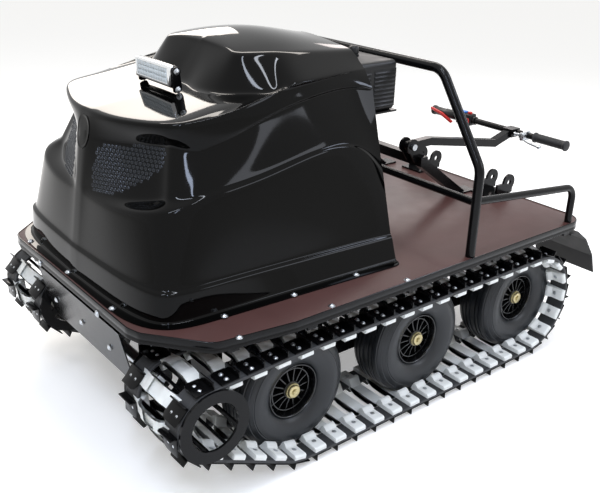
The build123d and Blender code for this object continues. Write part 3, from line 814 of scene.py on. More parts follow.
# The hood's left half as rows of points from the nose round to the rear edge:
# x, y from its middle, height above the deck
HOOD_ROWS = (
    # flange top
    (
        (806, 0, 4), (806, 18, 4), (806, 38, 4), (806, 148, 4),
        (806, 231, 4), (801, 298, 4), (776, 366, 4), (722, 412, 4),
        (610, 418.2, 4), (530, 422.1, 4), (440, 426.4, 4), (350, 430.7, 4),
        (260, 435, 4), (170, 439.3, 4), (100, 442.7, 4), (51, 445, 4),
    ),
    # foot
    (
        (790, 0, 4), (790, 18, 4), (789, 38, 4), (787, 148, 4),
        (782.5, 231, 4), (774.5, 298, 4), (756, 361, 4), (716, 389, 4),
        (610, 393.3, 4), (530, 397.4, 4), (440, 402.1, 4), (350, 406.7, 4),
        (260, 411.3, 4), (170, 415.9, 4), (100, 419.5, 4), (51, 422, 4),
    ),
    # skirt top
    (
        (786.5, 0, 79), (786.5, 18, 79), (785.5, 38, 79), (783, 166, 81),
        (777, 246, 80), (767.5, 308, 79.5), (750, 360, 78), (713, 387, 76),
        (610, 387.5, 75), (530, 386, 73.5), (440, 386.5, 72), (350, 388, 70.5),
        (260, 390, 69.5), (170, 393, 68.5), (100, 396, 68), (51, 399.5, 67),
    ),
    # skirt ledge
    (
        (780, 0, 83), (780, 18, 83), (778, 38, 83), (774.5, 164, 84.5),
        (768, 242, 83.5), (758.5, 301, 82.5), (742, 351, 81), (706.5, 378, 80),
        (610, 379, 79), (530, 377.5, 77.5), (440, 378, 76), (350, 379.5, 74.5),
        (260, 381.5, 73.5), (170, 384.5, 72.5), (100, 388.5, 71.5), (51, 394, 71),
    ),
    # belt edge
    (
        (760, 0, 222), (760, 18, 222), (757, 38, 222), (757, 148, 227),
        (743, 231, 238), (730, 276, 246), (709, 320, 252), (668, 344, 260),
        (610, 349, 276), (530, 349.5, 284), (440, 348, 294.5), (350, 345, 312),
        (260, 341, 326.5), (170, 336, 328.5), (100, 339, 298), (51, 349, 234),
    ),
    # belt ledge
    (
        (758, 0, 238), (758, 18, 238), (751, 38, 237), (733, 148, 242),
        (702, 221, 250), (675, 274, 262), (678, 298, 270), (645, 325, 270),
        (610, 339.5, 282), (530, 339.5, 289.5), (440, 338, 300), (350, 335.5, 317.5),
        (260, 332, 332), (170, 327.5, 334), (100, 332, 305), (51, 345.5, 241),
    ),
    # recess top
    (
        (738, 0, 365), (738, 18, 365), (733, 38, 362), (698.3, 118, 363),
        (657.4, 186.8, 369), (634.9, 226.3, 373), (640.9, 251.5, 378), (589.7, 290.1, 362.1),
        (556.8, 299.2, 373.6), (505.1, 304.6, 388.5), (425.9, 306.2, 419.2), (337.7, 302.9, 442.7),
        (250.6, 295.3, 454.1), (164.2, 283, 459.1), (97.5, 277.8, 454.7), (51, 290, 443),
    ),
    # brow foot
    (
        (727, 0, 410), (727, 18, 410), (726.5, 38, 409), (715.6, 107.4, 404),
        (688.9, 187.1, 406), (668.2, 236, 410), (649.7, 264.6, 411), (626.3, 284.2, 409),
        (587.7, 297, 403), (509.6, 306.8, 394.7), (420.9, 309.5, 425.2), (333.3, 306.5, 449.1),
        (247.2, 299.8, 461), (162.1, 288.2, 466.5), (96.6, 282.4, 461.5), (51, 287.5, 451),
    ),
    # shoulder
    (
        (723.6, 0, 426), (723.6, 18, 426), (724, 38, 425), (718.4, 105.7, 424),
        (692.1, 185.3, 428), (671.4, 236.3, 431.5), (651.8, 264.8, 434), (629.2, 285.2, 435),
        (586.1, 295, 436), (507.2, 302.2, 449.2), (418.8, 302.1, 472.7), (331.9, 296.1, 484.6),
        (246.3, 289.2, 489.5), (161.6, 275.6, 492), (96.4, 265.1, 493.5), (51, 255, 494),
    ),
    # hump foot
    (
        (459.4, 0, 463.1), (459.4, 20, 463.1), (461.4, 45, 462.9), (471.4, 94.4, 461.5),
        (465.3, 156, 462.3), (447.9, 194.9, 464.8), (423.3, 225.6, 468.2), (402.8, 249.2, 471.1),
        (383.3, 268.6, 473.8), (365.9, 278.8, 476.3), (343.3, 279.9, 479.5), (335, 311.5, 495.5),
        (260, 300.5, 496.5), (170, 280.5, 497), (100, 265, 497), (51, 251.5, 496.5),
    ),
    # plateau edge
    (
        (394.5, 0, 552.9), (394.5, 20, 552.9), (395.5, 45, 552.9), (398.5, 101.9, 551.9),
        (401.6, 147.9, 551.4), (398.5, 163.2, 551.4), (389.9, 175.2, 551.6), (378.4, 183.3, 552.3),
        (363, 190.8, 553.1), (342.1, 197.8, 553.5), (315.4, 203.9, 553.6), (283.3, 208.9, 552.7),
        (236.2, 212.9, 550.2), (156.8, 208.3, 544.8), (96.3, 202.9, 540.6), (51, 199, 538),
    ),
    # crown
    (
        (394, 0, 563), (393, 10.8, 563), (392, 22.8, 563), (390, 60, 563),
        (387, 93.6, 562.5), (382, 108, 563), (372, 116.4, 564.5), (356, 118.8, 567.5),
        (334, 120, 571), (306, 120, 574), (279, 120, 576), (246, 120, 576),
        (202, 116.4, 573), (146, 109.2, 565), (92, 104.4, 556), (51, 99.6, 549),
    ),
    # middle line
    (
        (376, 0, 569.5), (374, 0, 570), (371, 0, 571), (362, 0, 574),
        (352, 0, 577), (341, 0, 580), (329, 0, 582.5), (315, 0, 585),
        (298, 0, 587.5), (278, 0, 589.5), (254, 0, 590), (224, 0, 589),
        (186, 0, 584.5), (139, 0, 575.5), (91, 0, 565), (51, 0, 560),
    ),
)


@dataclass
class Tracks:
    """Two rubber belts a side, with steel angle lugs outside and moulded saddles inside."""

    drum: tuple[float, float, float] = (717.0, 243.0, 88.0)
    front_wheel: tuple[float, float, float] = (429.0, 183.0, 159.0)
    rear_wheel: tuple[float, float, float] = (-471.0, 183.0, 159.0)
    belt_thick: float = 8.0
    bands: tuple = ((258.0, 318.0), (440.0, 500.0))
    middle_y: float = 379.0
    pitch_aim: float = 69.0
    steps_per_link: int = 6
    first_saddle_x: float = 116.0
    lug_offset: float = 9.0
    bolt_back: float = 24.0
    bolt_across: tuple[float, float] = (-9.0, 13.0)
    lug_height: float = 20.0
    angle_width: float = 46.0
    angle_thick: float = 3.5
    saddle_length: float = 36.0
    saddle_foot: float = 13.0
    runs: list = field(default_factory=list)

    def __post_init__(self) -> None:
        """Work out the runs and wraps of the belts' middle line."""
        wraps = [self.rear_wheel, self.front_wheel, self.drum, self.front_wheel]
        wraps = [(x, z, r if (x, z) == self.drum[:2] else self.wrap_radius()) for x, z, r in wraps]
        normals = []
        for (x, z, r), (nx, nz, nr) in zip(wraps, wraps[1:] + wraps[:1]):
            span = math.hypot(nx - x, nz - z)
            normals.append(math.atan2(nz - z, nx - x) - math.acos((r - nr) / span))
        for i, (x, z, r) in enumerate(wraps):
            nx, nz, nr = wraps[(i + 1) % 4]
            a = normals[i]
            start = (x + r * math.cos(a), z + r * math.sin(a))
            end = (nx + nr * math.cos(a), nz + nr * math.sin(a))
            self.runs.append(("run", math.dist(start, end), start, a))
            turn = (normals[(i + 1) % 4] - a) % (2 * math.pi)
            self.runs.append(("wrap", turn * nr, (nx, nz, nr), a))
        self.length = sum(run[1] for run in self.runs)
        self.count = round(self.length / self.pitch_aim)
        self.pitch = self.length / self.count
        self.phase = (self.first_saddle_x - self.rear_wheel[0]) % self.pitch

    def wrap_radius(self) -> float:
        """The radius of the belts' middle line about a wheel, as the ground sets it."""
        return self.rear_wheel[1] - self.lug_height - self.belt_thick / 2

    def at(self, distance: float, outward: float = 0.0) -> tuple[float, float, float]:
        """A point of the belts' path.

        Args:
            distance: the distance along the middle line.
            outward: the height above it.

        Returns:
            x, z and the outward angle.
        """
        s = distance % self.length
        for kind, length, place, a in self.runs:
            if s <= length:
                break
            s -= length
        if kind == "run":
            x = place[0] - s * math.sin(a) + outward * math.cos(a)
            return x, place[1] + s * math.cos(a) + outward * math.sin(a), a
        x, z, r = place
        angle = a + s / r
        return x + (r + outward) * math.cos(angle), z + (r + outward) * math.sin(angle), angle

    def seat(self, distance: float, across: float, outward: float) -> Matrix:
        """A place on the belts, with Z outward and X along the travel."""
        x, z, a = self.at(distance, outward)
        return frame_at((x, across, z), (math.cos(a), 0, math.sin(a)), (-math.sin(a), 0, math.cos(a)))

    def under(self, distance: float, across: float, depth: float) -> Matrix:
        """A place inside the belts, with Z inward and X across."""
        x, z, a = self.at(distance, -depth)
        return frame_at((x, across, z), (-math.cos(a), 0, -math.sin(a)), (0, 1, 0))

    def belt(self, low: float, high: float) -> Piece:
        """One belt: a flat band with rounded edges and a worn line along each of them.

        Args:
            low: its inner edge across the vehicle.
            high: its outer edge.

        Returns:
            The belt.
        """
        half = self.belt_thick / 2
        section = [(low + 2, -half), (low, -half + 2), (low, half - 2), (low + 2, half), (low + 9, half)]
        section += [(low + 10, half - 0.8), (low + 11, half), (high - 11, half), (high - 10, half - 0.8)]
        section += [
            (high - 9, half), (high - 2, half), (high, half - 2), (high, -half + 2), (high - 2, -half),
        ]
        rows = []
        for k in range(self.count * self.steps_per_link):
            distance = self.phase + k * self.pitch / self.steps_per_link
            spots = [(self.at(distance, out), across) for across, out in section]
            rows.append([(x, across, z) for (x, z, _), across in spots])
        return woven("belt", rows)

    def angle(self) -> Piece:
        """One steel angle: a flange that lies on the belt and a blade that stands across it.

        Returns:
            The angle at the origin, with Z outward, X along the travel and Y outboard.
        """
        t, w = self.angle_thick, self.angle_width
        outline = [(0, -29), (0, 26), (-3, 29), (-w + 14, 29), (-w + 4, 25), (-w, 14), (-w, -29)]
        flange = plate("flange", outline, Axis.Z, 0.2, t, 0.7)
        h = self.lug_height
        blade = plate("blade", [(-29, 0.2), (29, 0.2), (29, h - 5), (25, h), (-29, h)], Axis.X, 0, t, 0.7)
        return joined("angle", [flange, blade])

    def saddle(self) -> Piece:
        """One moulded saddle: a plate under each belt and a trough that carries the tyre.

        Returns:
            The saddle at the origin, with Z inward from the belts' inner face and X across.
        """
        half = [(121, 0.3), (121, 9), (117, 13), (80, 13), (72, 21), (66, 23), (62, 22), (54, 8), (44, -5)]
        half += [(34, -9.3), (18, -10.3)]
        under = [(22, -17), (36, -16), (50, -11), (60, 0.3)]
        outline = half + [(-x, y) for x, y in half[::-1]] + [(-x, y) for x, y in under] + under[::-1]
        size = self.saddle_length / 2
        return plate("saddle", outline, Axis.Y, -size, size, 2.4)

    def side(self, name: str) -> list[Piece]:
        """Build the left side's belts, lugs, saddles and their bolts.

        Args:
            name: the prefix of the pieces' names.

        Returns:
            Belts, lugs, saddles, lug bolts and saddle bolts.
        """
        belts = joined(f"{name}_belt_loops", [self.belt(*band) for band in self.bands])
        steps = [self.phase + k * self.pitch for k in range(self.count)]
        half = self.belt_thick / 2
        middles = [(low + high) / 2 for low, high in self.bands]
        lug_places, bolt_places, screw_places = [], [], []
        for s in steps:
            for side, y in zip((-1, 1), middles):
                lug = self.seat(s + self.lug_offset, y, half)
                if side < 0:
                    lug = lug @ Matrix.Rotation(math.pi, 4, "Z") @ Matrix.Translation(
                        (self.angle_thick * MM, 0, 0),
                    )
                    lug = lug @ Matrix.Scale(-1, 4, (1, 0, 0))
                lug_places.append(lug)
                for step in self.bolt_across:
                    along = s + self.lug_offset - self.bolt_back
                    bolt_places.append(self.seat(along, y + side * step, half + self.angle_thick))
                screw_places.append(self.under(s, y, half + self.saddle_foot))
        lugs = spread(f"{name}_angle_lugs", self.angle(), lug_places)
        heal(lugs)
        saddle_places = [self.under(s, self.middle_y, half) for s in steps]
        saddles = spread(f"{name}_saddles", self.saddle(), saddle_places)
        heal(saddles)
        bolts = spread(f"{name}_lug_bolts", Bolts(5.4, 3.2, 6.6, 0.9).dome(), bolt_places)
        screws = spread(f"{name}_saddle_bolts", Bolts(4.6, 1.2, 6.2, 0.3).dome(), screw_places)
        return [belts, lugs, saddles, bolts, screws]

    def build(self) -> None:
        """Build and dress both sides."""
        finishes = (BELT_RUBBER, POWDER_COAT, SADDLE_PE, ZINC, ZINC)
        left = self.side("left")
        right = [mirrored(piece.name.replace("left", "right"), piece) for piece in left]
        for side, pieces in (("left", left), ("right", right)):
            stands = ((f"{side}_track_belts",), (), (f"{side}_track_saddles",), (), ())
            for piece, finish, nodes in zip(pieces, finishes, stands):
                present(piece, finish, stands_for=nodes)


@dataclass
class Wheels:
    """Three ribbed tyres a side on spoked nylon rims."""

    hub_x: tuple[float, ...] = (429.0, -21.0, -471.0)
    hub_z: float = 183.0
    middle_y: float = 379.0
    spokes: int = 14
    hub_end: float = 40.0

    def tyre(self) -> Piece:
        """One tyre: full sidewalls and a crown with round ribs.

        Returns:
            The tyre, about the origin.
        """
        half = [(44.5, 77), (49, 80), (53, 85), (58, 94), (61.5, 106), (63.2, 118), (63.4, 124)]
        half += [(62, 133), (60.5, 134.5), (61, 137), (59.5, 139), (56.5, 147), (55, 148.2), (55, 150.5)]
        half += [
            (51, 155), (47, 158.6), (44.5, 158.2), (43, 161), (34, 164.2), (33, 164.2), (32, 161),
            (29, 161),
        ]
        half += [(28, 164.6), (20, 165), (19, 161.5), (15.5, 161.5), (14.5, 165), (6, 165), (5, 161.5)]
        section = half + [(-a, r) for a, r in half[::-1]]
        return lathe("tyre", section, ORIGIN, 96, closed=True)

    def rim(self) -> Piece:
        """One rim: barrel, rolled lip, web, hub and thin spokes.

        Returns:
            The rim, about the origin, with its open face towards +Y.
        """
        barrel = [(46, 76), (47.5, 74.5), (47.5, 72.5), (45.5, 70.8), (42, 70.4), (30, 69.8), (12, 69)]
        barrel += [
            (12, 27), (30, 25.5), (38.5, 24.5), (40, 23), (40, 13), (-30, 13), (-30, 26), (6, 26), (6, 66),
        ]
        barrel += [(-30, 70), (-46, 70.5), (-46, 76)]
        ring = lathe("ring", barrel, ORIGIN, 72, closed=True)
        outline = [(24.5, 10), (70.5, 10), (70.5, 30), (62, 33), (40, 34), (24.5, 37)]
        spoke = plate("spoke", outline, Axis.Z, -1.7, 1.7, 0.6)
        turns = [Matrix.Rotation(2 * math.pi * k / self.spokes, 4, "Y") for k in range(self.spokes)]
        fan = spread("spokes", spoke, turns)
        step_ring = lathe(
            "step", [(31, 60), (34.5, 60), (34.5, 57.5), (31, 57.5)], ORIGIN, 72, closed=True,
        )
        return joined("rim", [ring, fan, step_ring])

    def cap(self) -> Piece:
        """One hub cap: a pressed cup with a nut and the axle's end.

        Returns:
            The cap, seated on the hub's end.
        """
        cup = [
            (0.3, 13), (0.3, 21), (3, 21), (4.2, 20.2), (4.6, 18.6), (9, 17.8), (11, 16.4), (11.6, 14),
            (11.6, 0.01),
        ]
        shell = lathe("cup", cup, (0, self.hub_end, 0), 48)
        nut = rod("nut", (0, self.hub_end + 13.4, 0), 8.4, 4.0, Axis.Y, 0.8, 6)
        stub = rod("axle_end", (0, self.hub_end + 15.2, 0), 4.6, 2.6, Axis.Y, 0.6, 20)
        return joined("cap", [shell, nut, stub])

    def build(self) -> None:
        """Build and dress the wheels of both sides."""
        places = [Matrix.Translation(metres((x, self.middle_y, self.hub_z))) for x in self.hub_x]
        tyres = spread("left_ribbed_tyres", self.tyre(), places)
        rims = spread("left_spoked_rims", self.rim(), places)
        caps = spread("left_hub_cups", self.cap(), places)
        for piece, finish, node in ((tyres, TYRE_RUBBER, "tyres"), (rims, RIM_NYLON, "wheel_rims")):
            twin = mirrored(piece.name.replace("left", "right"), piece)
            present(piece, finish, stands_for=(f"left_{node}",))
            present(twin, finish, stands_for=(f"right_{node}",))
        both = joined("hub_cups", [caps, mirrored("right_hub_cups", caps)])
        present(both, YELLOW_ZINC, stands_for=("hub_caps",))


@dataclass
class Deck:
    """The plywood board in its steel rim, and the guard's and rim's screws."""

    corners: tuple = (
        (-671.0, -496.0, 60.0),
        (481.0, -496.0, 90.0),
        (700.0, -482.0, 60.0),
        (807.0, -384.0, 40.0),
        (814.0, -344.0, 40.0),
        (814.0, 290.0, 60.0),
        (803.0, 330.0, 40.0),
        (691.0, 468.0, 55.0),
        (481.0, 496.0, 90.0),
        (-671.0, 496.0, 60.0),
    )
    rim_low: float = 402.0
    rim_high: float = 431.5
    board_low: float = 418.0
    board_high: float = 430.0
    board_inset: float = 3.0
    # Each side's screws as x and distance from the middle, the front ones as y and height
    side_screws: tuple = ((630.7, 475.9), (363.1, 481.2), (108.7, 485.0))
    front_screws: tuple = ((-202.7, 407.0), (141.8, 402.0))
    guard_screws: tuple = (-172.2, -13.7, 145.3)
    guard_place: tuple[float, float] = (790.8, 302.0)
    guard_slope: Point = (0.97, 0.0, -0.23)
    bearing_bolts: tuple = ((690.0, 352.0), (744.0, 352.0), (717.0, 330.0))
    bearing_y: float = 231.3

    def rim(self) -> Piece:
        """The rolled rim: a lower band, a groove, and a lip that holds the board down.

        Returns:
            The rim.
        """
        top, low = self.rim_high, self.rim_low
        section = [
            (16, low), (2, low), (0, low + 2), (0, 411), (1.0, 413), (1.0, 415.5), (0, 417.5), (0, 428),
        ]
        section += [(0.5, top - 1.0), (1.6, top), (3.0, top), (3.8, top - 0.7), (3.8, 430.2), (2.8, 430.2)]
        section += [(2.8, low + 4), (16, low + 4)]
        rows = [[(x, y, z) for x, y in rounded(self.corners, inset)] for inset, z in section]
        return woven("rolled_rim", rows)

    def build(self) -> None:
        """Build and dress the deck."""
        present(self.rim(), POWDER_COAT, stands_for=("deck_rim",))
        outline = rounded(self.corners, self.board_inset)
        board = plate("faced_board", outline, Axis.Z, self.board_low, self.board_high, 0.5)
        present(board, FILM_PLYWOOD, stands_for=("deck_board",))
        up, ahead = (0, 0, 1), (1, 0, 0)
        front_x = self.corners[4][0]
        spots = [frame_at((x, s * y, self.board_high), up) for x, y in self.side_screws for s in (1, -1)]
        spots += [frame_at((front_x, y, z), ahead, up) for y, z in self.front_screws]
        present(spread("deck_screws", Bolts().dome(), spots), ZINC)
        x, z = self.guard_place
        holes = [frame_at((x, y, z), self.guard_slope, up) for y in self.guard_screws]
        present(spread("guard_screws", Bolts().dome(0.9), holes), ZINC)
        bolts = [
            frame_at((x, side * self.bearing_y, z), (0, side, 0))
            for side in (1, -1)
            for x, z in self.bearing_bolts
        ]
        present(spread("bearing_bolts", Bolts(7, 4.5, 9, 1.2).hexagon(), bolts), ZINC)


@dataclass
class Hood:
    """The vacuum-formed hood, subdivided from rows of points, with its trim and screws."""

    middle_y: float = -36.0
    deck_z: float = 430.0
    wall: float = 3.6
    # Support rows that keep a fold tight: the lower row, then the distance from it and from the next, mm
    supports: tuple = (
        (1, 7.0, 9.0),
        (3, 9.0, 12.0),
        (5, 12.0, 14.0),
        (6, 12.0, 0.0),
        (8, 18.0, 26.0),
        (9, 22.0, 16.0),
        (10, 18.0, 0.0),
    )
    most_share: float = 0.42
    dish_place: tuple[float, float] = (78.0, -84.0)
    dish_size: tuple[float, float] = (42.0, 46.0)
    dish_depth: float = 7.0
    # The dish's flat share and its slope's, and the height that only the hump reaches
    dish_flat: float = 0.55
    dish_slope: float = 0.45
    hump_z: float = 940.0
    # How far off the skin a search for it starts
    reach: float = 70.0
    badge_x: float = 760.0
    badge_z: float = 806.0
    badge_half: tuple[float, float] = (38.0, 44.0)
    grille_origin: Point = (710.8, 85.0, 734.5)
    grille_along: Point = (-0.351, 0.9347, 0.0563)
    grille_up: Point = (-0.2411, -0.1483, 0.9591)
    grille_pitch: float = 11.5
    grille_row_share: float = 0.866
    grille_rows: range = range(-8, 9)
    grille_columns: range = range(-9, 14)
    # The pierced field's outline in that plane, as (along, up)
    grille_field: tuple = (
        (-74, -68), (5, -62), (88, -23), (136, 20), (131, 64), (1, 58), (-61, 47), (-80, -25),
    )
    front_screws: tuple = ((798.0, -299.0), (798.0, -51.8), (798.0, 194.3))
    near_screws: tuple = ((606.4, 379.9), (405.5, 387.2), (201.5, 390.4))
    screw_seat: float = 4.2
    hood: Piece | None = None

    def rows(self) -> list[list[Vector]]:
        """The half's rows with support rows beside the folds.

        Returns:
            Rows of points in millimetres, on the vehicle.
        """
        table = [[Vector(p) for p in row] for row in HOOD_ROWS]
        result = []
        beside = {low: gaps for low, *gaps in self.supports}
        for i, row in enumerate(table):
            result.append(row)
            for from_low, gap in zip((True, False), beside.get(i, ())):
                if gap <= 0:
                    continue
                extra = []
                for p, q in zip(row, table[i + 1]):
                    share = min(gap / max((q - p).length, 1.0), self.most_share)
                    extra.append(p.lerp(q, share if from_low else 1 - share))
                result.append(extra)
        return result

    def shell(self) -> Piece:
        """The hood's skin with its wall.

        Returns:
            The hood.
        """
        rows = []
        for row in self.rows():
            whole = [(p.x, -p.y, p.z) for p in row[:0:-1]] + [tuple(p) for p in row]
            rows.append([(x, y + self.middle_y, z + self.deck_z) for x, y, z in whole])
        piece = woven("formed_hood", rows, ring=False, loop=False, gap=0.5)
        modify(piece, "SUBSURF", levels=3, render_levels=3)
        self.sink_dish(piece)
        modify(piece, "SOLIDIFY", thickness=self.wall * MM, offset=-1.0)
        return piece

    def sink_dish(self, piece: Piece) -> None:
        """Press the oval dish into the rear of the hump.

        Args:
            piece: the hood's skin.
        """
        for vertex in piece.data.vertices:
            x, y, z = vertex.co / MM
            if z < self.hump_z:
                continue
            (dish_x, dish_y), (long, wide) = self.dish_place, self.dish_size
            away = math.hypot((x - dish_x) / long, (y - dish_y) / wide)
            if away < 1.0:
                slope = min(max((away - self.dish_flat) / self.dish_slope, 0.0), 1.0)
                fall = 0.5 + 0.5 * math.cos(math.pi * slope)
                vertex.co.z -= self.dish_depth * fall * MM

    def through_skin(self, place: Vector, out: Vector) -> tuple[Vector, Vector] | None:
        """Where a line meets the hood's skin from outside.

        Args:
            place: a point of the line in millimetres.
            out: the line's outward direction.

        Returns:
            The point in millimetres and the outward normal, or None where it misses.
        """
        start = (place + out * self.reach) * MM
        hit, spot, normal, _ = self.hood.ray_cast(start, -out, distance=2 * self.reach * MM)
        return (spot / MM, normal) if hit else None

    def on_skin(self, place: Sequence[float]) -> tuple[Vector, Vector]:
        """The hood's nearest point and its normal.

        Args:
            place: a point in millimetres.

        Returns:
            The point in millimetres and the outward normal.
        """
        _, spot, normal, _ = self.hood.closest_point_on_mesh(metres(place))
        return spot / MM, normal

    def in_field(self, u: float, v: float) -> bool:
        """Whether a point of the pocket's plane lies in the pierced field.

        Args:
            u: its place along the pocket, in millimetres.
            v: its place up the pocket.

        Returns:
            True if the field's outline goes round it.
        """
        inside = False
        for (ax, ay), (bx, by) in zip(self.grille_field, self.grille_field[1:] + self.grille_field[:1]):
            if (ay > v) != (by > v) and u < (bx - ax) * (v - ay) / (by - ay) + ax:
                inside = not inside
        return inside

    def eyelets(self) -> Piece:
        """The pierced field of both front pockets, as rolled rims about each hole.

        Returns:
            The rims of both sides.
        """
        section = [(-0.6, 2.7), (0.5, 2.5), (1.1, 3.1), (1.0, 4.0), (0.2, 4.9), (-0.8, 4.9)]
        ring = stood(lathe("eyelet", section, ORIGIN, 10, closed=True))
        return spread("pocket_eyelets", ring, self.hole_places(0.0))

    def hole_places(self, lift: float) -> list[Matrix]:
        """Where each hole of the pierced fields sits.

        Args:
            lift: the height above the skin.

        Returns:
            The places of both sides.
        """
        origin, along, up = (Vector(v) for v in (self.grille_origin, self.grille_along, self.grille_up))
        row_step = self.grille_pitch * self.grille_row_share
        places = []
        for j in self.grille_rows:
            for i in self.grille_columns:
                u = (i + 0.5 * (j % 2)) * self.grille_pitch
                v = j * row_step
                if not self.in_field(u, v):
                    continue
                found = self.through_skin(origin + along * u + up * v, along.cross(up).normalized())
                if found is None:
                    continue
                spot, normal = found
                for side in (1, -1):
                    y = spot.y if side > 0 else 2 * self.middle_y - spot.y
                    out = Vector((normal.x, side * normal.y, normal.z))
                    places.append(frame_at(Vector((spot.x, y, spot.z)) + out * lift, out, (0, 0, 1)))
        return places

    def badge_seat(self) -> Piece:
        """The bare oval seat on the nose, a thin raised lip about a flat face.

        Returns:
            The seat.
        """
        rings = ((0.0, 0.5), (0.8, 0.5), (0.88, 0.9), (0.94, 2.0), (1.0, 1.9), (1.03, -0.6))
        steps = 48
        wide, tall = self.badge_half
        rows = []
        for share, lift in rings:
            row = []
            for k in range(steps):
                a = 2 * math.pi * k / steps
                y = self.middle_y + wide * share * math.cos(a)
                spot, normal = self.on_skin((self.badge_x, y, self.badge_z + tall * share * math.sin(a)))
                row.append(spot + normal * lift)
            rows.append(row)
        return woven("nose_seat", rows, loop=False, gap=0.05)

    def build(self) -> None:
        """Build and dress the hood."""
        self.hood = self.shell()
        present(self.hood, HOOD_ABS, stands_for=("hood_shell",), smooth=50)
        present(self.eyelets(), PIERCED_WIRE)
        # Dark discs in each hole of the pierced field: painted shade for the depth behind it
        disc = rod("hole", (0, 0, 0), 3.4, 0.5, Axis.Z, 0.05, 10)
        present(spread("pocket_hole_shade", disc, self.hole_places(0.25)), PAINTED_SHADE)
        present(self.badge_seat(), HOOD_ABS, smooth=40)
        far = tuple((x, 2 * self.middle_y - y) for x, y in self.near_screws)
        spots = self.front_screws + self.near_screws + far
        seats = [frame_at((x, y, self.deck_z + self.screw_seat), (0, 0, 1)) for x, y in spots]
        present(spread("flange_screws", Bolts().dome(), seats), ZINC)


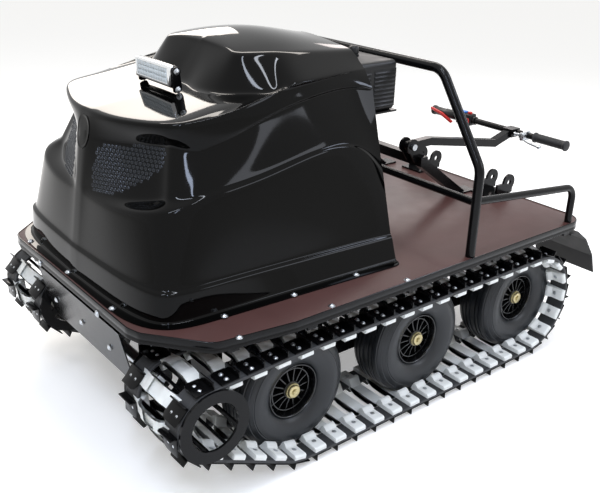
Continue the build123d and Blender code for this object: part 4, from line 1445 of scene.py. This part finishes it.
@dataclass
class Lamp:
    """The work lamp on the bonnet: black body, bright bezel, fluted reflector and clear lens."""

    middle_y: float = -36.0
    middle_z: float = 926.5
    front_x: float = 542.0
    width: float = 167.0
    height: float = 51.0
    back_x: float = 513.0
    pivot: tuple[float, float] = (522.0, 937.0)
    foot_z: float = 885.5
    bezel_depth: float = 12.0
    fins: int = 12
    fin_pitch: float = 12.0
    flutes: int = 14
    flute_pitch: float = 11.0
    cup_inset: float = 32.0
    # How far the glass lies behind the front: its back face, then its front face
    glass_back: float = 3.6
    glass_front: float = 2.0
    glass_inset: float = 5.0
    cell_pitch: float = 13.0
    arm_radius: float = 12.0
    arm_inside: float = 1.5
    arm_outside: float = 6.0

    def bezel(self) -> Piece:
        """The bezel: a block whose front is inset and pushed in.

        Returns:
            The bezel.
        """
        half_w, half_h = self.width / 2, self.height / 2
        low = (self.back_x + self.bezel_depth, self.middle_y - half_w, self.middle_z - half_h)
        high = (self.front_x, self.middle_y + half_w, self.middle_z + half_h)
        piece = block("lamp_bezel", low, high, 3.0, 3)
        edit(piece, "FACE")
        mesh = bmesh.from_edit_mesh(piece.data)
        for face in mesh.faces:
            face.select_set(face.normal.x > 0.99)
        bmesh.update_edit_mesh(piece.data)
        bpy.ops.mesh.inset(thickness=3.6 * MM, depth=0)
        bpy.ops.mesh.inset(thickness=1.2 * MM, depth=-1.5 * MM)
        bpy.ops.mesh.extrude_region_move(TRANSFORM_OT_translate={"value": (-11 * MM, 0, 0)})
        bpy.ops.object.mode_set(mode="OBJECT")
        return piece

    def build(self) -> None:
        """Build and dress the lamp and its bracket."""
        half_w, half_h = self.width / 2, self.height / 2
        low, high = self.middle_y - half_w, self.middle_y + half_w
        present(self.bezel(), CHROME, stands_for=("lamp_housing",))
        body = block(
            "lamp_body",
            (self.back_x, low + 3, self.middle_z - half_h + 2),
            (self.back_x + self.bezel_depth + 0.2, high - 3, self.middle_z + half_h - 2),
            5.0,
            3,
        )
        fins = [
            block(
                "fin",
                (self.back_x - 5, low + 14 + self.fin_pitch * k, self.middle_z - half_h + 6),
                (self.back_x + 1, low + 17 + self.fin_pitch * k, self.middle_z + half_h - 6),
                0.8,
            )
            for k in range(self.fins)
        ]
        present(joined("lamp_body", [body, *fins]), NYLON)
        flutes = [
            rod("flute", (self.back_x + 14.5, y, self.middle_z), 5.2, 37, Axis.Z, 0.3, 24)
            for y in (low + 12 + self.flute_pitch * k for k in range(self.flutes))
        ]
        cups = []
        glass = self.front_x - self.glass_back
        for y in (low + self.cup_inset, self.middle_y, high - self.cup_inset):
            cup = lathe("cup", [(0, 15), (-5, 13), (-9, 8), (-10, 0.01)], ORIGIN, 32)
            cup.data.transform(Matrix.Rotation(-math.pi / 2, 4, "Z"))
            cup.data.transform(Matrix.Translation(metres((glass, y, self.middle_z))))
            modify(cup, "SOLIDIFY", thickness=0.8 * MM, offset=0.0)
            cups.append(cup)
        present(joined("lamp_reflector", flutes + cups), CHROME)
        face, inset = self.front_x - self.glass_front, self.glass_inset
        back_corner = (glass, low + inset, self.middle_z - half_h + inset)
        lens = block("lamp_glass", back_corner, (face, high - inset, self.middle_z + half_h - inset), 0.6)
        cell = block("cell", (-1.1, -6.3, -6.3), (1.1, 6.3, 6.3), 1.0, 2)
        step = self.cell_pitch
        spots = [
            Matrix.Translation(metres((face, self.middle_y + step * i, self.middle_z + step * j)))
            for i in range(-5, 6)
            for j in (-1, 0, 1)
        ]
        lens = joined("lamp_glass", [lens, spread("lens_cells", cell, spots)])
        present(lens, LENS, stands_for=("lamp_lens",))
        self.bracket(low, high)

    def bracket(self, low: float, high: float) -> None:
        """The bent bracket that carries the lamp by two pivots.

        Args:
            low: the lamp's far end across the vehicle.
            high: its near end.
        """
        x, z = self.pivot
        angles = [math.radians(a) for a in range(-30, 211, 20)]
        turn = [(x + self.arm_radius * math.cos(a), z + self.arm_radius * math.sin(a)) for a in angles]
        low_z = self.foot_z
        foot = [(x - 15, low_z + 12), (x - 13, low_z + 3), (x - 8, low_z), (x + 4, low_z)]
        side = turn + foot + [(x + 9, low_z + 3), (x + 10, low_z + 12)]
        inside, outside = self.arm_inside, self.arm_outside
        near_arm = plate("near_arm", side, Axis.Y, high + inside, high + outside, 0.8)
        far_arm = plate("far_arm", side, Axis.Y, low - outside, low - inside, 0.8)
        bar = block("bar", (x - 9, low - 4, self.foot_z + 9), (x + 5, high + 4, self.foot_z + 12), 0.8)
        present(joined("lamp_yoke", [near_arm, far_arm, bar]), POWDER_COAT, stands_for=("lamp_bracket",))
        seats = [frame_at((x, high + outside, z), (0, 1, 0)), frame_at((x, low - outside, z), (0, -1, 0))]
        seats.append(frame_at((x - 3, high + outside, self.foot_z + 7), (0, 1, 0)))
        present(spread("lamp_pivots", Bolts(6.0, 4.0, 8.0, 1.0).hexagon(), seats), ZINC)


@dataclass
class Cowl:
    """The engine's top cowl behind the hood, with its louvres, plate and filler cap."""

    low: Point = (-126.0, -238.0, 784.0)
    high: Point = (44.0, 166.0, 925.0)
    plate_z: tuple[float, float] = (778.0, 784.0)
    plate_front_x: float = 360.0
    louvres: int = 9
    louvre_low: float = 803.0
    louvre_pitch: float = 11.6
    louvre_spans: tuple = ((-118.0, -38.0), (-24.0, 30.0))
    # The painted shade behind the louvres, as thin dark sheets: their heights, and how far they reach past a
    # louvre's ends
    shade_z: tuple[float, float] = (796.0, 903.0)
    shade_past: float = 2.0
    cap: Point = (-52.0, 60.0, 925.0)

    def slats(self, side: float, outward: int) -> list[Piece]:
        """Two columns of louvre slats on one side.

        Args:
            side: the side face's place across the vehicle.
            outward: 1 for the left side and -1 for the right.

        Returns:
            The slats.
        """
        pieces = []
        for k in range(self.louvres):
            z = self.louvre_low + self.louvre_pitch * k
            for start, end in self.louvre_spans:
                outline = [(z, 0), (z - 4.5, 5.2), (z - 3.2, 6.2), (z + 3.6, 0.6), (z + 3.4, 0)]
                rows = [(side + outward * (out - 2.6), up) for up, out in outline]
                pieces.append(plate("slat", rows, Axis.X, start, end, 0.5))
        return pieces

    def build(self) -> None:
        """Build and dress the cowl."""
        shell = block("cowl_shell", self.low, self.high, 13.0, 5)
        present(shell, NYLON, stands_for=("engine_cowl",))
        near, far = self.high[1], self.low[1]
        # Thin dark sheets inside the side faces behind the louvres: painted shade for the openings' depth
        (z0, z1), past = self.shade_z, self.shade_past
        shade_sheets = [
            block("well", (a - past, s * 0.5 + y - 0.5, z0), (b + past, s * 0.5 + y + 0.5, z1), 0.2)
            for a, b in self.louvre_spans
            for s, y in ((1, near - 0.6), (-1, far + 0.6))
        ]
        present(joined("cowl_painted_shade", shade_sheets), PAINTED_SHADE)
        slats = self.slats(near, 1) + self.slats(far, -1)
        present(joined("cowl_louvres", slats), NYLON)
        low, high = self.plate_z
        corner = (self.plate_front_x, near + 4, high - 0.3)
        base = block("cowl_base", (self.low[0] - 4, far - 4, low), corner, 1.2)
        present(base, POWDER_COAT, stands_for=("engine_top_plate",))
        section = [(0.2, 0.01), (0.2, 15), (5, 15), (6, 13.5), (8, 13.5), (9, 14.5), (22, 14.2), (26, 12.5)]
        section += [(29, 8.5), (30, 0.01)]
        cap = lathe("filler_cap", section, ORIGIN, 40)
        cap.data.transform(Matrix.Translation(metres(self.cap)) @ Matrix.Rotation(math.pi / 2, 4, "X"))
        present(cap, NYLON, stands_for=("fuel_cap",))


@dataclass
class Tiller:
    """What the tiller carries: grips, throttle, switches, brake clamp and lever."""

    bar_x: float = -811.0
    bar_z: float = 596.0
    near_grip: tuple[float, float] = (174.0, 303.6)
    far_end: float = -294.0
    grip_radius: float = 15.2

    def grip(self) -> Piece:
        """The near grip: a collar at each end and fine rings between them.

        Returns:
            The grip.
        """
        start, end = self.near_grip
        section = [(start, 11.3), (start, 17), (start + 4, 17.8), (start + 6, 17.2), (start + 7, 15.8)]
        rings = int((end - start - 18) / 5)
        for k in range(rings):
            y = start + 8 + 5 * k
            section += [
                (y, self.grip_radius), (y + 1, self.grip_radius - 0.9), (y + 2.4, self.grip_radius - 0.9),
            ]
            section += [(y + 3.4, self.grip_radius)]
        section += [(end - 8, 15.8), (end - 6.5, 17.8), (end - 1.5, 17.8), (end, 16.4), (end, 0.01)]
        return lathe("ribbed_grip", section, (self.bar_x, 0, self.bar_z), 40)

    def throttle(self) -> None:
        """The far control: a round end, a body, a red thumb strip, a switch box and a red wire hoop."""
        x, z, far = self.bar_x, self.bar_z, self.far_end
        end = [(far, 0.01), (far, 16), (far + 2, 17.8), (far + 10, 17.8), (far + 13, 17), (far + 14, 15.6)]
        body = [(far + 60, 15), (far + 64, 17), (far + 112, 17), (far + 118, 14), (far + 118, 11.4)]
        drum = lathe("throttle_drum", end + body, (x, 0, z), 40)
        box = block("switch_box", (x - 16, far + 128, z - 20), (x + 22, far + 196, z + 22), 5.0, 3)
        neck = lathe(
            "neck", [(far + 120, 11.3), (far + 120, 15), (far + 207, 15), (far + 207, 11.3)], (x, 0, z), 32,
        )
        parts = [drum, box, neck]
        present(joined("throttle_body", parts), NYLON, Body.TILLER, stands_for=("throttle_grip",))
        strip = plate(
            "thumb_strip",
            [
                (far + 4, z + 15), (far + 60, z + 4), (far + 114, z - 19), (far + 108, z - 27),
                (far + 50, z - 4),
            ]
            + [(far + 4, z + 6)],
            Axis.X,
            x + 16,
            x + 25,
            1.6,
        )
        button = rod("stop_button", (x + 4, far + 180, z + 25), 8.5, 8, Axis.Z, 1.6, 28)
        hoop = tube(
            "hoop",
            [
                (x + 23, far + 190, z + 10),
                (x + 27, far + 196, z - 8),
                (x + 26, far + 176, z - 36),
                (x + 26, far + 156, z - 38),
                (x + 27, far + 160, z - 20),
                (x + 25, far + 180, z + 2),
            ],
            1.7,
            closed=True,
        )
        present(joined("throttle_reds", [strip, button, hoop]), RED_ABS, Body.TILLER)
        slide = block("slide_switch", (x - 6, far + 138, z + 21.6), (x + 14, far + 164, z + 28), 1.6, 3)
        present(slide, BLUE_ABS, Body.TILLER)

    def brake(self) -> None:
        """The zinc clamp and the short lever folded under the near grip."""
        x, z = self.bar_x, self.bar_z
        ring = lathe("ring", [(132, 11.3), (132, 17), (146, 17), (146, 11.3)], (x, 0, z), 32, closed=True)
        ear = block("ear", (x + 10, 128, z - 9), (x + 30, 150, z + 9), 2.5, 3)
        barrel = rod("barrel", (x + 24, 139, z - 2), 8.0, 26, Axis.Z, 1.2, 24)
        adjuster = rod("adjuster", (x + 23, 116, z + 1), 5.0, 24, Axis.Y, 1.0, 12)
        nut = rod("nut", (x + 23, 107, z + 1), 7.0, 6, Axis.Y, 0.8, 6)
        present(
            joined("brake_bracket", [ring, ear, barrel, adjuster, nut]), ZINC, Body.TILLER,
            ("brake_clamp",),
        )
        path = [(x + 24, 140, z - 8), (x + 30, 160, z - 13), (x + 33, 190, z - 17), (x + 31, 215, z - 20)]
        lever = tube("lever", path, 4.4)
        ball = rod("ball", (x + 31, 217, z - 20), 7.0, 13, Axis.Y, 4.5, 24)
        present(joined("short_lever", [lever, ball]), ZINC, Body.TILLER, ("brake_lever",))

    def build(self) -> None:
        """Build and dress what the tiller carries."""
        present(self.grip(), GRIP_RUBBER, Body.TILLER, ("left_grip",), 50)
        self.throttle()
        self.brake()


def direct_ray(tree: Tree) -> Socket:
    """Tell the rays that show the background: from the camera, off gloss or through glass.

    Args:
        tree: the node tree to add to.

    Returns:
        A socket that is 1 for such a ray.
    """
    path = add_node(tree, "LightPath").outputs
    chosen = path["Is Camera Ray"]
    for kind in ("Is Glossy Ray", "Is Transmission Ray"):
        chosen = add_node(tree, "Math", {0: chosen, 1: path[kind]}, operation="MAXIMUM").outputs[0]
    return chosen


@dataclass(frozen=True)
class SoftLamp:
    """One soft area lamp: its place, target and size in metres, its power in watts, its colour."""

    name: str
    place: Point
    target: Point
    size: tuple[float, float]
    power: float
    colour: str

    def hang(self) -> None:
        """Add the lamp to the scene, turned to its target."""
        data = bpy.data.lights.new(self.name, "AREA")
        data.shape = "RECTANGLE"
        data.size, data.size_y = self.size
        data.energy = self.power
        data.color = linear(self.colour)[:3]
        aim = Vector(self.target) - Vector(self.place)
        turn = aim.to_track_quat("-Z", "Y").to_matrix().to_4x4()
        link(self.name, data).matrix_world = Matrix.Translation(self.place) @ turn


HOOD_TOP = (0.55, 0.0, 0.9)
# Each lamp hangs where its reflection falls as in the photograph: on bonnet, rims, deck, hump and pillar
STUDIO_LAMPS = (
    SoftLamp("back_softbox", (-0.83, -3.37, 2.09), HOOD_TOP, (1.7, 0.95), 40.0, "#fff6ec"),
    SoftLamp("rim_strip", (-1.22, -1.85, 3.47), HOOD_TOP, (3.0, 0.35), 40.0, "#fff8f0"),
    SoftLamp("deck_softbox", (-3.07, -2.25, 1.86), (-0.2, 0.2, 0.5), (1.1, 0.5), 6.0, "#fff2ee"),
    SoftLamp("front_tube", (1.64, 0.58, 3.18), HOOD_TOP, (0.14, 1.5), 26.0, "#e6efff"),
    SoftLamp("top_tube", (0.10, 0.65, 3.48), HOOD_TOP, (1.5, 0.14), 26.0, "#eef4ff"),
    SoftLamp("near_pillar_strip", (1.62, 1.69, 2.54), HOOD_TOP, (0.12, 1.4), 20.0, "#d5e3ff"),
    SoftLamp("side_strip", (-1.76, 1.43, 2.4), (0.2, 0.3, 0.76), (0.3, 1.0), 14.0, "#dfe9ff"),
    SoftLamp("fill_softbox", (-1.6, 3.0, 2.0), (-0.1, 0.0, 0.3), (1.2, 1.2), 26.0, "#eef3ff"),
)


@dataclass
class Studio:
    """The pale floor, the soft lamps and the camera that match the photograph."""

    camera_place: Point = (1.5366, 1.7898, 1.3418)
    yaw_deg: float = 50.756
    pitch_deg: float = 23.334
    roll_deg: float = 1.692
    lens_mm: float = 48.977
    sensor_mm: float = 36.0
    floor_size: float = 40.0
    floor_glow: float = 0.35
    room_light: float = 0.9

    def camera(self) -> None:
        """Place the camera where the photograph was taken."""
        data = bpy.data.cameras.new("camera")
        data.lens = self.lens_mm
        data.sensor_width = self.sensor_mm
        data.dof.use_dof = False
        camera = link("camera", data)
        yaw, pitch, roll = (math.radians(a) for a in (self.yaw_deg, self.pitch_deg, self.roll_deg))
        ahead = Vector((-math.cos(yaw) * math.cos(pitch), -math.sin(yaw) * math.cos(pitch), -math.sin(pitch)))
        level = ahead.cross(Vector((0, 0, 1))).normalized()
        up = level.cross(ahead)
        right = math.cos(roll) * level + math.sin(roll) * up
        top = -math.sin(roll) * level + math.cos(roll) * up
        turn = Matrix((right, top, -ahead)).transposed()
        camera.matrix_world = Matrix.Translation(self.camera_place) @ turn.to_4x4()
        bpy.context.scene.camera = camera

    def world(self) -> None:
        """White to the camera, and a room with a bright ceiling and dim warm walls to the object."""
        world = bpy.data.worlds.new("studio")
        bpy.context.scene.world = world
        world.use_nodes = True
        tree = world.node_tree
        tree.nodes.clear()
        way = add_node(tree, "TexCoord").outputs["Generated"]
        split = add_node(tree, "SeparateXYZ", {"Vector": way})
        ramp = add_node(tree, "ValToRGB", {"Fac": split.outputs["Z"]})
        stops = ((0.0, "#8a8a8a"), (0.12, "#6b6259"), (0.35, "#8d8a86"), (0.75, "#f2f2f0"))
        while len(ramp.color_ramp.elements) < len(stops):
            ramp.color_ramp.elements.new(0.5)
        for element, (place, colour) in zip(ramp.color_ramp.elements, stops):
            element.position = place
            element.color = linear(colour)
        seen_ray = direct_ray(tree)
        room = add_node(tree, "Background", {"Color": ramp.outputs["Color"], "Strength": self.room_light})
        white = add_node(tree, "Background", {"Color": (1, 1, 1, 1), "Strength": 1.0})
        seen = add_node(tree, "MixShader", {0: seen_ray, 1: room.outputs[0], 2: white.outputs[0]})
        add_node(tree, "OutputWorld", {"Surface": seen.outputs[0]})

    def floor(self) -> None:
        """A pale floor that takes the shadow and reads as white to the camera."""
        bpy.ops.object.select_all(action="DESELECT")
        bpy.ops.mesh.primitive_plane_add(size=self.floor_size, location=(0, 0, -0.0005))
        floor = bpy.context.object
        floor.name = "floor"
        material = bpy.data.materials.new("studio_floor_paper")
        material.use_nodes = True
        tree = material.node_tree
        tree.nodes.clear()
        matt = add_node(tree, "BsdfDiffuse", {"Color": linear("#f4f4f4")})
        glow = add_node(tree, "Emission", {"Color": (1, 1, 1, 1), "Strength": self.floor_glow})
        both = add_node(tree, "AddShader", {0: matt.outputs[0], 1: glow.outputs[0]})
        seen = add_node(tree, "MixShader", {0: direct_ray(tree), 1: matt.outputs[0], 2: both.outputs[0]})
        add_node(tree, "OutputMaterial", {"Surface": seen.outputs[0]})
        floor.data.materials.append(material)

    def build(self) -> None:
        """Set the whole studio up."""
        bpy.context.scene.view_settings.view_transform = "Standard"
        self.camera()
        self.world()
        self.floor()
        for lamp in STUDIO_LAMPS:
            lamp.hang()


def dress_frame(nodes: dict[str, Piece]) -> None:
    """Give every CAD node its finish.

    Args:
        nodes: the CAD nodes by name.
    """
    for name, node in nodes.items():
        finish = NODE_FINISHES.get(name, POWDER_COAT)
        node.data.materials.clear()
        node.data.materials.append(finish.material())


def main(frame: dict) -> None:
    """Build and dress every sub-assembly, then the studio.
    """
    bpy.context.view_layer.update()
    dress_frame(frame["nodes"])
    for assembly in (Deck(), Tracks(), Wheels(), Hood(), Lamp(), Cowl(), Tiller()):
        LOG.info("building %s", type(assembly).__name__)
        assembly.build()
    Studio().build()


if __name__ == "__main__":
    logging.basicConfig(level=logging.INFO)
    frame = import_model()
    main(frame)
